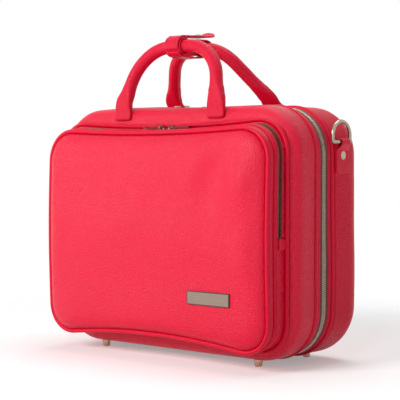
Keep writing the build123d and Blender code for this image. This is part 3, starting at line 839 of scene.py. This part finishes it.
# Handles and wrap
HANDLE_WIDTH = 14.5
TAB_WIDTH = 24.0
FRONT_ROOT = joint_place("front_handle_swing")
REAR_ROOT = joint_place("rear_handle_swing")
WRAP_HINGE = joint_place("wrap_flap_lift")
FRONT_TOP = Vector((0, WRAP_HINGE.y, box_mm("front_handle")[1].z - HANDLE_WIDTH / 2))
REAR_TOP = Vector((0, box_mm("rear_handle")[0].y + HANDLE_WIDTH / 2,
                   box_mm("rear_handle")[1].z - HANDLE_WIDTH / 2))
REAR_EDGE_MIDDLE = Vector((0, REAR_FACE - REAR_EDGE, TOP_Z - REAR_EDGE))
STITCH = (2.1, 0.65, 0.5)
STITCH_PITCH = 3.0


def handle_frames(run, top, spacing, half_top, sway, radius, out):
    """Frames from the low end of one tab over the arch to that of the other."""
    left = [Vector((-spacing, place.y, place.z)) for place in run]
    right = [Vector((spacing, place.y, place.z)) for place in reversed(run)]
    arch = rounded_line([left[-1], Vector((sway - half_top, top.y, top.z)),
                         Vector((sway + half_top, top.y, top.z)), right[0]], radius)
    return frames_along(eased(even(left + arch[1:-1] + right, 1.5), 9), out)


def make_handle(name, frames, root_at, tab_depths, flat_until, seam, seed, material):
    """Rolled handle in one piece with its tabs: flat on the case, round above the roots."""
    total = frames[-1][4]
    count = 36

    def section_at(travelled, place):
        end = min(travelled, total - travelled)
        flat = 1 - smooth_step(end - root_at, *flat_until)
        tab = between(tab_depths, smooth_step(end, 0, root_at))
        width = HANDLE_WIDTH + (TAB_WIDTH - HANDLE_WIDTH) * flat
        depth = HANDLE_WIDTH + (tab - HANDLE_WIDTH) * flat
        if end < 3:
            turned = math.sqrt(1 - (1 - end / 3) ** 2)
            width -= 5 * (1 - turned)
            depth *= 0.4 + 0.6 * turned
        crease = 0.045 * hump(end - root_at, -8, 26)
        section = []
        for k, (across, up) in enumerate(ring_section(width, depth, 2 + 3 * flat, count)):
            swell = 1 + 0.010 * wave(place + Vector((across, up, 0)), 12, seed)
            swell += crease * wave(place + Vector((across, up, 0)) * 0.8, 6, seed + 2)
            from_seam = min((k - seam) % count, (seam - k) % count)
            swell -= (0.075, 0.012, 0)[min(from_seam, 2)] * (1 - flat)
            section.append((across * swell, up * swell))
        return section

    return make_piece(name, *sweep(frames, section_at), material)


def strip_section(width, thickness, roll):
    cosine, sine = math.cos(math.radians(roll)), math.sin(math.radians(roll))
    return [(across * cosine - up * sine, across * sine + up * cosine)
            for across, up in ring_section(width, thickness, 6, 24)]


def make_strap(name, frames, width_at, thickness, material, roll_at=None):
    """Flat leather strap whose ends are rounded off in their thickness."""
    total = frames[-1][4]

    def section_at(travelled, place):
        end = min(travelled, total - travelled)
        turned = math.sqrt(max(0.0, 1 - (1 - min(end, 1.2) / 1.2) ** 2))
        roll = roll_at(travelled) if roll_at else 0.0
        width = max(0.6, width_at(travelled))
        return strip_section(width, thickness * (0.35 + 0.65 * turned), roll)

    return make_piece(name, *sweep(frames, section_at), material)


# Zip round the case
ZIP_END = box_mm("hinge_strip")[1].x + 0.4
TOOTH_PITCH = 2.15
ZIP_MIDDLE_INSET = HALF_WIDTH - box_mm("front_zip_row")[1].x + 1.1


def zip_line(inset, y, step=2.0):
    whole = perimeter(HALF_WIDTH - inset, HALF_HEIGHT - inset, CORNER - inset)
    return case_path(inset, y, ZIP_END, whole - ZIP_END, step)


# Plush inside
LINING_SUNK = HALF_WIDTH - box_mm("front_lining")[1].x
LINING_THICKNESS = 2.0


def soft_copy(name, node, voxel, rounds, material):
    """Plush-covered copy of a formed CAD piece, with every edge softened by its covering."""
    shape = bmesh.new()
    shape.from_mesh(frame["nodes"][node].data)
    bmesh.ops.remove_doubles(shape, verts=shape.verts, dist=0.01 * MM)
    mesh = mesh_from(name, shape)
    mesh.materials.append(material)
    piece = new_object(name, mesh)
    even_skin = piece.modifiers.new("even skin", "REMESH")
    even_skin.mode = "VOXEL"
    even_skin.voxel_size = voxel * MM
    even_skin.use_smooth_shade = True
    soften = piece.modifiers.new("soften", "SMOOTH")
    soften.factor = 0.5
    soften.iterations = rounds
    return bake_modifiers(piece)


PAD_FLAT = 0.8
PAD_PRESSURE = 4.0
PAD_SWELL = 6.0
PAD_FRAMES = 16
QUILT_LINES = (-72.0, 0.0, 72.0)
QUILT_DEPTH, QUILT_WIDTH = 2.6, 4.0


def swell_pad(pad):
    """Cloth under air pressure, capped, never moving back into the lining, with quilted lines."""
    vertices = pad.data.vertices
    rest = [vertex.co.copy() for vertex in vertices]
    back = min(place.y for place in rest)
    for vertex in vertices:
        vertex.co.y = back + (vertex.co.y - back) * PAD_FLAT
    cloth = pad.modifiers.new("cloth", "CLOTH")
    cloth.settings.use_pressure = True
    cloth.settings.uniform_pressure_force = PAD_PRESSURE
    cloth.settings.effector_weights.gravity = 0.0
    for step in range(1, PAD_FRAMES + 1):
        bpy.context.scene.frame_set(step)
    bake_modifiers(pad)
    bpy.context.scene.frame_set(1)
    for vertex, place in zip(pad.data.vertices, rest):
        move = vertex.co - place
        if move.length > PAD_SWELL * MM:
            vertex.co = place + move.normalized() * PAD_SWELL * MM
        vertex.co.y = max(vertex.co.y, back)
    low, high = box_mm("lid_pad")
    for vertex in pad.data.vertices:
        x, y, z = vertex.co / MM
        depth = QUILT_DEPTH * MM * smooth_step(y, low.y + 4, high.y)
        for distance in (*(x - line for line in QUILT_LINES), z - MIDDLE_Z):
            vertex.co.y -= depth * math.exp(-(distance / QUILT_WIDTH) ** 2)
    finer = pad.modifiers.new("finer", "SUBSURF")
    finer.levels = finer.render_levels = 1
    return bake_modifiers(pad)


# Finishes besides the leather
def make_wear_group():
    """Wear: worn edges, fine scratches and slow patches."""
    group, add, sizes = new_group("wear", {"Scratch Size": 0.004}, ("Edge", "Scratch", "Patch"))
    place = on_surface(add)
    per_metre = add("Math", 1.0, sizes["Scratch Size"], operation="DIVIDE")
    edge = add("MapRange", add("NewGeometry").outputs["Pointiness"], From_Min=0.52, From_Max=0.62)
    scratch = add("TexNoise", Vector=place, Scale=per_metre, Detail=4.0, Roughness=0.7,
                  Distortion=1.2)
    add("NodeGroupOutput", Edge=edge, Scratch=scratch,
        Patch=add("TexNoise", Vector=place, Scale=45.0, Detail=2.0))
    return group


def make_weave_group():
    """Plain weave: threads that pass over and under each other."""
    group, add, sizes = new_group("weave", {"Thread": 0.0005}, ("Height",))
    place, per_metre = on_surface(add), add("Math", 1.0, sizes["Thread"], operation="DIVIDE")
    over = add("TexChecker", Vector=place, Scale=per_metre).outputs["Fac"]
    fibres = add("TexNoise", Vector=place, Scale=per_metre, Detail=3.0)
    add("NodeGroupOutput", add("Math", over, 0.6, fibres, operation="MULTIPLY_ADD"))
    return group


def metal(name, colour, roughness):
    """Polished metal, a little darker in its patches and brighter on its worn edges."""
    material, add = new_material(name)
    wear = add("Group", node_tree=wear_group).outputs
    aged = add("MixRGB", wear["Patch"], opaque(colour), opaque(colour, 0.78))
    return finished(material, add, wear["Scratch"], 0.0001, 0.15, Metallic=1.0,
                    Base_Color=add("MixRGB", wear["Edge"], aged, opaque(colour, 1.12)),
                    Roughness=add("MapRange", wear["Scratch"], From_Min=0.3, From_Max=0.7,
                                  To_Min=roughness * 0.7, To_Max=roughness * 1.5))


def badge_finish():
    """Bare satin plate, brushed along its length, with painted shade along its edge for its bevel.
    """
    material, add = new_material("badge_metal")
    low, high = box_mm("badge_plate")
    centred = add("Mapping", Vector=on_surface(add), Location=-BADGE_CENTRE * MM)
    from_middle = add("SeparateXYZ", add("VectorMath", centred, operation="ABSOLUTE")).outputs
    # Painted shade: a dark rim along the plate's edge stands for the shading of its bevel
    bevel_shade_rims = [add("MapRange", from_middle[axis], From_Min=(half - 1.3) * MM,
                From_Max=(half - 0.6) * MM)
            for axis, half in (("X", (high.x - low.x) / 2), ("Z", (high.z - low.z) / 2))]
    brushed = add("Mapping", Vector=centred, Scale=(60, 2500, 2500))
    lines = add("TexNoise", Vector=brushed, Scale=1.0, Detail=4.0)
    face = add("MixRGB", lines, (0.27, 0.215, 0.175, 1), (0.20, 0.155, 0.125, 1))
    bevel_shaded_colour = add("MixRGB", add("Math", *bevel_shade_rims, operation="MAXIMUM"), face, (0.06, 0.045, 0.035, 1))
    return finished(material, add, Metallic=0.85, Base_Color=bevel_shaded_colour,
                    Roughness=add("MapRange", lines, To_Min=0.34, To_Max=0.52))


def woven(name, colour, thread, depth):
    """Woven cloth with painted shade darkening its sunk threads."""
    material, add = new_material(name)
    height = add("Group", node_tree=weave_group, Thread=thread).outputs["Height"]
    # Painted shade: the weave's height darkens the sunk threads
    return finished(material, add, height, depth, 0.8, Roughness=0.85, Sheen_Weight=0.25,
                    Base_Color=add("MixRGB", height, opaque(colour, 0.7), opaque(colour)))


def fibrous(name, low, high, scale, stretch, roughness, depth, sheen=0.0):
    """Fibres, pile or wood grain: two tones by noise that is stretched along an axis."""
    material, add = new_material(name)
    place = on_surface(add)
    stretched = add("Mapping", Vector=place, Scale=stretch)
    fine = add("TexNoise", Vector=stretched, Scale=scale, Detail=5.0, Roughness=0.65)
    slow = add("TexNoise", Vector=place, Scale=24.0, Detail=1.0)
    mixed = add("Math", fine, slow, operation="MULTIPLY")
    spread = add("MapRange", mixed, From_Min=0.12, From_Max=0.42)
    return finished(material, add, fine, depth, 0.9, Roughness=roughness, Sheen_Weight=sheen,
                    Base_Color=add("MixRGB", spread, opaque(low), opaque(high)))


make_camera()
make_world(0.12)
make_floor()
softbox("key", (-0.5, -1.95, 1.2), (0.8, 0.8), 28.5)
softbox("low", (-1.35, -1.35, 0.34), (0.9, 0.6), 6)
softbox("top", (0.0, 0.4, 1.8), (1.4, 1.0), 15)
softbox("edge", (0.9, -1.6, 0.8), (0.25, 1.0), 5)
bpy.context.scene.view_settings.view_transform = "Standard"

grain_group = make_grain_group()
wear_group = make_wear_group()
weave_group = make_weave_group()
repeat_tree = make_repeat_tree()
red = leather("red_leather", (0.86, 0.005, 0.046), 0.0015, 0.00028, 0.31, 0.26)
# The rear cover's leather is a darker, less glossy copy of the front's: painted shade for the rear
# half, whose side lies in shade
shaded_rear_red = leather("rear_red_leather", (0.80, 0.004, 0.040), 0.0015, 0.00030, 0.34, 0.10)
trim = leather("trim_leather", (0.80, 0.005, 0.042), 0.0012, 0.0001, 0.34, 0.16)
rolled = leather("handle_leather", (0.78, 0.005, 0.042), 0.0014, 0.0002, 0.34, 0.16)
tape_cloth = woven("zip_tape", (0.11, 0.006, 0.012), 0.0005, 0.0002)
thread = woven("thread", (0.86, 0.05, 0.09), 0.0003, 0.0001)
teeth_metal = metal("zip_metal", (0.80, 0.67, 0.49), 0.22)
# The pocket's teeth take a much darker copy of the zip metal: painted shade, as they sit hidden
# between the gusset and the side strip
shaded_pocket_teeth = metal("pocket_zip_metal", (0.30, 0.20, 0.13), 0.35)
bright = metal("bright_metal", (0.42, 0.36, 0.28), 0.17)
stud_metal = metal("foot_metal", (0.52, 0.33, 0.24), 0.24)
badge_metal = badge_finish()
plush = fibrous("plush", (0.012, 0.012, 0.015), (0.05, 0.05, 0.06), 1400, (1, 1, 1), 0.95, 0.0006,
                sheen=0.5)
ply = fibrous("board", (0.36, 0.23, 0.12), (0.62, 0.45, 0.27), 90, (0.12, 6, 1), 0.6, 0.0001)
rubber = fibrous("handle_core", (0.03, 0.03, 0.03), (0.10, 0.10, 0.10), 600, (1, 1, 1), 0.7, 0.0001)

NODE_FINISH = {"slider": bright, "pull_": bright, "d_ring": bright, "snap": bright, "rivet": bright,
               "feet": stud_metal, "badge": badge_metal, "row": teeth_metal, "lining": plush,
               "tray": plush, "lid_pad": plush, "core": rubber, "board": ply, "tape": tape_cloth,
               "handle": rolled, "": red}
for name, node in frame["nodes"].items():
    node.data.materials.clear()
    node.data.materials.append(next(finish for word, finish in NODE_FINISH.items() if word in name))

tooth = small_block("tooth", 0.16)
stitch = small_block("stitch", 0.22)


def dress(piece, slot, body, *nodes):
    """A piece rides on one body; one that is given two bodies with their limits is baked where it
    stands.
    """
    if isinstance(body, str):
        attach(piece, body)
    else:
        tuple(body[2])
        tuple(body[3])
        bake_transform(piece)
    if nodes:
        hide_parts(*nodes)


def across_joint(parent, child, start, end):
    return parent, child, tuple(v * MM for v in start), tuple(v * MM for v in end)


def sew(name, spots, body, seed, sizes=STITCH, unevenness=0.12):
    """Row of stitches on its body."""
    dress(repeat(name, stitch, spots, sizes, thread, unevenness, seed), "leather_trim", body)


def both_edges(frames, start, end, across, *ups, pitch=STITCH_PITCH):
    """Spots for stitches along both edges of a strap, on each of its faces."""
    return [spot for side in (-across, across) for up in ups
            for spot in seam_spots(frames, start, end, pitch, side, up)]


# Shells, welts and bands
BAND_THICKNESS = 1.8
dress(make_cover("front_leather", FRONT_FACE, FRONT_RIM, FRONT_EDGE, 0.0, 1, red),
      "red_leather", "lid", "front_cover")
dress(make_cover("rear_leather", REAR_FACE, REAR_RIM, REAR_EDGE, 2.0, 2, shaded_rear_red),
      "red_leather", "rear_half", "rear_cover")
for half, body in (("front", "lid"), ("rear", "rear_half")):
    low, high = box_mm(half + "_welt")
    welt_line = case_path(HALF_WIDTH - high.x + WELT_RADIUS, (low.y + high.y) / 2)
    dress(cord_along(half + "_welt_cord", welt_line, WELT_RADIUS, 12, trim),
          "leather_trim", body, half + "_welt")
    low, high = box_mm(half + "_edge_band")
    band_line = case_path(BAND_INSET + BAND_THICKNESS / 2, (low.y + high.y) / 2)
    dress(band_along(half + "_band_leather", band_line, BAND_THICKNESS, high.y - low.y, trim),
          "red_leather", body, half + "_edge_band")
    seam_y = low.y + 1.6 if half == "front" else high.y - 1.4
    sew(half + "_band_stitches", row_spots(case_path(BAND_INSET, seam_y), STITCH_PITCH), body, 3)

# Main zip and the leather hinge between its ends
TAPE_THICKNESS = 1.0
# The tape reaches on under the teeth: its dark colour there is partly the tape's own and partly
# painted shade in the gaps between teeth
TAPE_REACH = 0.9
for half, body, side, shift in (("front", "lid", -1, 0.0), ("rear", "rear_half", 1, 0.5)):
    low, high = box_mm(half + "_zip_tape")
    limits = (low.y, high.y + TAPE_REACH) if half == "front" else (low.y - TAPE_REACH, high.y)
    tape_line = zip_line(HALF_WIDTH - high.x + TAPE_THICKNESS / 2, sum(limits) / 2)
    dress(band_along(half + "_tape_cloth", tape_line, TAPE_THICKNESS, limits[1] - limits[0],
                     tape_cloth, closed=False), "zip_tape", body, half + "_zip_tape")
    spots = row_spots(zip_line(ZIP_MIDDLE_INSET, ZIP_Y + side * 1.7), TOOTH_PITCH, shift)
    dress(repeat(half + "_zip_teeth", tooth, spots, (0.75, 3.3, 1.1), teeth_metal, 0.03, 5),
          "zip_metal", body, half + "_zip_row")
low, high = box_mm("hinge_strip")
strip_line = case_path((low.z + high.z) / 2 - BASE_Z, (low.y + high.y) / 2, low.x, high.x)
hinge_bend = across_joint("rear_half", "lid", (0, high.y - 2, low.z), (0, low.y + 0.6, low.z))
dress(band_along("hinge_leather", strip_line, 1.6, high.y - low.y, red, closed=False, count=24),
      "red_leather", hinge_bend, "hinge_strip")

# Pocket: what crosses the split between the lid and the flap is baked where it stands; the rest
# rides on one of them
FOLD_REACH = 14
fold = across_joint("lid", "pocket_flap", (0, PANEL_FACE, SPLIT_Z - FOLD_REACH),
                    (0, PANEL_FACE, SPLIT_Z + FOLD_REACH))
inner_share = share_at(PIPING_Y + INNER_PIPING_BACK)
strip_shares = (inner_share + INNER_PIPING_RADIUS / POCKET_DEPTH,
                share_at(PIPING_Y + PIPING_RADIUS))
low, high = box_mm("pocket_welt")
root_share = share_at((low.y + high.y) / 2)
dress(make_panel(red, tape_cloth), "red_leather", fold, "pocket_upper_panel", "pocket_lower_panel")
for name, share, grow, radius, body, nodes in (
        ("pocket_piping", 1.0, -PIPING_RADIUS / 2, PIPING_RADIUS, fold,
         ("pocket_upper_piping", "pocket_lower_piping")),
        ("pocket_inner_piping", inner_share, -INNER_PIPING_RADIUS, INNER_PIPING_RADIUS, fold,
         ("pocket_upper_inner_piping", "pocket_lower_inner_piping")),
        ("pocket_root_welt", root_share, 1.0, 2.2, "lid", ("pocket_welt",))):
    dress(cord_along(name, pocket_line("all", share, grow, 300), radius, 14, trim),
          "leather_trim", body, *nodes)
dress(pocket_strip("pocket_outer_strip", "all", strip_shares, POCKET_WALL_THICKNESS, red),
      "red_leather", fold, "pocket_upper_outer_strip", "pocket_lower_outer_strip")
for name, part, body, node, creases in (
        ("pocket_gusset", "upper", "lid", "pocket_rear_gusset",
         {"count": 420, "rows": 7, "crumple": 1.6, "seed": 11}),
        ("pocket_wall", "lower", "lid", "pocket_lower_wall",
         {"count": 420, "rows": 7, "crumple": 0.7, "seed": 13}),
        ("pocket_side_strip", "upper", "pocket_flap", "pocket_zip_side_strip", {})):
    low, high = box_mm(node)
    dress(pocket_strip(name, part, (share_at(high.y), share_at(low.y)), POCKET_WALL_THICKNESS, red,
                       **creases), "red_leather", body, node)

POCKET_TOOTH_PITCH = 1.9
for half, body, side, shift in (("rear", "lid", 1, 0.0), ("front", "pocket_flap", -1, 0.5)):
    low, high = box_mm("pocket_zip_row_" + half)
    near, far = (high.y, high.y - 0.8) if half == "rear" else (low.y + 0.8, low.y)
    dress(pocket_strip("pocket_tape_" + half, "upper", (share_at(near), share_at(far)),
                       1.0, tape_cloth, POCKET_WALL_GROW - 0.4), "zip_tape", body)
    teeth_line = pocket_line("upper", share_at(POCKET_ZIP_Y + side * 1.5),
                             POCKET_WALL_GROW - 0.7, 260)
    dress(repeat("pocket_teeth_" + half, tooth, row_spots(teeth_line, POCKET_TOOTH_PITCH, shift),
                 (0.8, 2.2, 1.0), shaded_pocket_teeth, 0.03, 7),
          "zip_metal", body, "pocket_zip_row_" + half)

# Leather tabs at the ends of the pocket's zip
low, high = box_mm("pocket_end_tabs")
tab_turn = math.atan2(POCKET_SIDE_SLANT, POCKET_DEPTH)
tab_spots = []
for side in (-1, 1):
    out = Vector((side * math.cos(tab_turn), -math.sin(tab_turn), 0))
    centre = Vector((side * (high.x - 1.55), (low.y + high.y) / 2, 0))
    line = even([centre + Vector((0, 0, low.z)), centre + Vector((0, 0, high.z))], 1.0)
    frames = frames_along(line, out)
    piece = make_strap("pocket_end_tab_" + ("left", "right")[side > 0], frames,
                       lambda d: 9.0 - 2.5 * smooth_step(1.5 - min(d, 12 - d), 0, 1.5), 2.0, trim)
    dress(piece, "leather_trim", "lid", *(("pocket_end_tabs",) if side > 0 else ()))
    tab_spots += both_edges(frames, 1.5, 10.5, 3.2, 1.0, pitch=2.4)
sew("end_tab_stitches", tab_spots, "lid", 4, (1.7, 0.7, 0.5), 0.1)

# Handles with their tabs
front_run = [FRONT_ROOT + Vector((0, y, z)) for y, z in
             ((-2.0, -19.6), (-1.8, -16.0), (-1.1, -11.6), (-0.4, -7.0), (0, 0))]
rear_run = [Vector((0, REAR_FACE + 1.9, 240.7))]
rear_run += arc_points(REAR_EDGE_MIDDLE, REAR_EDGE + 1.9, 0, 84)
rear_run += [REAR_ROOT + Vector((0, 6.2, -7.2)), REAR_ROOT + Vector((0, 2.2, -3.6)), REAR_ROOT]
for half, parent, run, top, spacing, half_top, sway, radius, out_y, seam, depths in (
        ("front", "lid", front_run, FRONT_TOP, 69.0, 54.0, 0.0, 50.0, -1, 0, (3.2, 7.4)),
        ("rear", "rear_half", rear_run, REAR_TOP, 72.0, 34.0, -8.0, 46.0, 1, 18, (3.2, 5.4))):
    frames = handle_frames(run, top, spacing, half_top, sway, radius, Vector((0, out_y, 0)))
    root, root_at, total = run[-1], line_length(run), frames[-1][4]
    bend = across_joint(parent, half + "_handle", (0, root.y, root.z - 4), (0, root.y, root.z + 8))
    handle = make_handle(half + "_handle_leather", frames, root_at, depths, (-12, 26), seam, 21,
                         rolled)
    dress(handle, "handle_leather", bend, half + "_handle", half + "_handle_tabs")
    spots = [spot for start, end in ((3.0, root_at - 8), (total - root_at + 8, total - 3.0))
             for spot in both_edges(frames, start, end, 9.6, depths[0] / 2 + 0.1)]
    sew(half + "_tab_stitches", spots, bend, 6)

# Leather wrap round both handles: sleeve, belly strap and the tongue with its snap
WRAP_X = WRAP_HINGE.x
front_centre = Vector((WRAP_X, FRONT_TOP.y, FRONT_TOP.z))
rear_centre = Vector((WRAP_X, REAR_TOP.y, REAR_TOP.z))
BAND_RADIUS = HANDLE_WIDTH / 2 + 0.3 + 1.1
sleeve_path = arc_points(front_centre, BAND_RADIUS, 0, 360, 73)[:-1]
sleeve = sweep(frames_along(sleeve_path, Vector((0, 1, 0)), True),
               lambda travelled, place: ring_section(22.3, 2.2, 6, 28), True)
dress(make_piece("wrap_sleeve", *sleeve, rolled), "handle_leather", "front_handle", "wrap_band")

TONGUE_LIFT, CURL, CURL_RADIUS = 3, 31.3, 32
lift = math.radians(TONGUE_LIFT)
tongue_path = arc_points(front_centre, WRAP_HINGE.z - FRONT_TOP.z, 200, 90, 26)
straight_end = tongue_path[-1] + Vector((0, math.cos(lift), math.sin(lift))) * 41
curl_middle = straight_end + Vector((0, -math.sin(lift), math.cos(lift))) * CURL_RADIUS
curl_start = TONGUE_LIFT - 90
tongue_path.append(straight_end)
tongue_path += arc_points(curl_middle, CURL_RADIUS, curl_start, curl_start + CURL, 12)[1:]
tongue_frames = frames_along(even(tongue_path, 0.8), Vector((0, -1, 0)))
tongue_length = tongue_frames[-1][4]
snap_at = tongue_length - 24
STRAP_WIDTH, STRAP_SEAM = 20.0, 8.4


def tongue_width(travelled):
    """Full width, with a half-round end."""
    radius, left = STRAP_WIDTH / 2, tongue_length - travelled
    if left > radius:
        return STRAP_WIDTH
    return 2 * math.sqrt(max(0.01, radius ** 2 - (radius - left) ** 2))


TONGUE_ROLL = -11
tongue = make_strap("wrap_tongue_leather", tongue_frames, tongue_width, 2.2, rolled,
                    lambda d: TONGUE_ROLL * smooth_step(d, snap_at + 6, tongue_length))
lift_bend = across_joint("front_handle", "wrap_flap", (0, WRAP_HINGE.y - 8, 0),
                         (0, WRAP_HINGE.y + 7, 0))
dress(tongue, "handle_leather", lift_bend, "wrap_tongue")
spots = both_edges(tongue_frames, 4, snap_at - 3, STRAP_SEAM, 1.15)
sew("wrap_tongue_stitches", spots, lift_bend, 8)

STRAP_RADIUS = HANDLE_WIDTH / 2 + 0.75 + 0.95
strap_path = arc_points(front_centre, BAND_RADIUS + 2.3, 215, 268, 10)
strap_path += [Vector((WRAP_X, y, z)) for y, z in ((-15, 334.8), (-5, 334.6), (5, 335.6))]
strap_path += arc_points(rear_centre, STRAP_RADIUS, -82, 90, 26)
strap_path.append(Vector((WRAP_X, box_mm("snap_stud")[0].y - 2.4, rear_centre.z + STRAP_RADIUS)))
strap_frames = frames_along(eased(even(strap_path, 0.9), 4), Vector((0, -1, -1)))
belly = make_strap("wrap_belly_strap", strap_frames, lambda travelled: STRAP_WIDTH, 1.8, rolled)
dress(belly, "handle_leather", "front_handle", "wrap_strap")
spots = both_edges(strap_frames, 3, strap_frames[-1][4] - 3, STRAP_SEAM, 0.95)
sew("wrap_strap_stitches", spots, "front_handle", 9)

# Shoulder strap tabs, folded round the bars of the D-rings
RING_FOLD = 3.2
TAB_THICKNESS = 1.45
ring_bar = joint_place("right_d_ring_swing")
tab_low, tab_high = box_mm("strap_tab_right")
tab_y = (tab_low.y + tab_high.y) / 2
near, far = HALF_WIDTH + 1.1, HALF_WIDTH + 2.7
tab_line = [(near, 209), (near, 231), (ring_bar.x - RING_FOLD, 236.5)]
tab_line += [(ring_bar.x - RING_FOLD * math.cos(math.pi * k / 12),
              ring_bar.z + RING_FOLD * math.sin(math.pi * k / 12)) for k in range(13)]
tab_line += [(ring_bar.x + 2.8, 236.0), (ring_bar.x + 0.4, 233.0), (far, 230.0), (far, tab_low.z)]
for side, name in ((-1, "left"), (1, "right")):
    path = eased(even([Vector((side * x, tab_y, z)) for x, z in tab_line], 0.7), 2)
    frames = frames_along(path, Vector((side, 0, 0)))
    heights = {row[4]: row[0].z for row in frames}
    piece = make_strap("strap_tab_leather_" + name, frames,
                       lambda d: TAB_WIDTH - 9.0 * smooth_step(heights[d], 229, 235),
                       TAB_THICKNESS, trim)
    dress(piece, "leather_trim", "rear_half", "strap_tab_" + name)
    outer = [row for row in frames if abs(row[0].x) > HALF_WIDTH + 2 and row[0].z < 229]
    spots = both_edges(outer, outer[0][4] + 1, outer[-1][4] - 2, 10.2, -0.75, 0.75)
    sew("strap_tab_stitches_" + name, spots, "rear_half", 10)

# Plush inside: linings, fitted tray and the pad that holds the instrument down
for half, body, edge in (("front", "lid", FRONT_EDGE), ("rear", "rear_half", REAR_EDGE)):
    low, high = box_mm(half + "_lining")
    limits = (low.y, high.y) if half == "front" else (high.y, low.y)
    lining = make_shell(half + "_plush", 56, *limits, max(edge - LINING_SUNK, 2.0),
                        LINING_SUNK, LINING_THICKNESS, plush)
    dress(lining, "plush", body, half + "_lining")
dress(soft_copy("tray_plush", "instrument_tray", 2.4, 5, plush),
      "plush", "rear_half", "instrument_tray")
pad = swell_pad(soft_copy("pad_plush", "lid_pad", 5.0, 2, plush))
dress(pad, "plush", "lid", "lid_pad")

for template in (tooth, stitch):
    bpy.data.objects.remove(template)

low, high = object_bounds()
sizes = {"cad": [list(cad_low), list(cad_high)], "visual": [list(low), list(high)]}
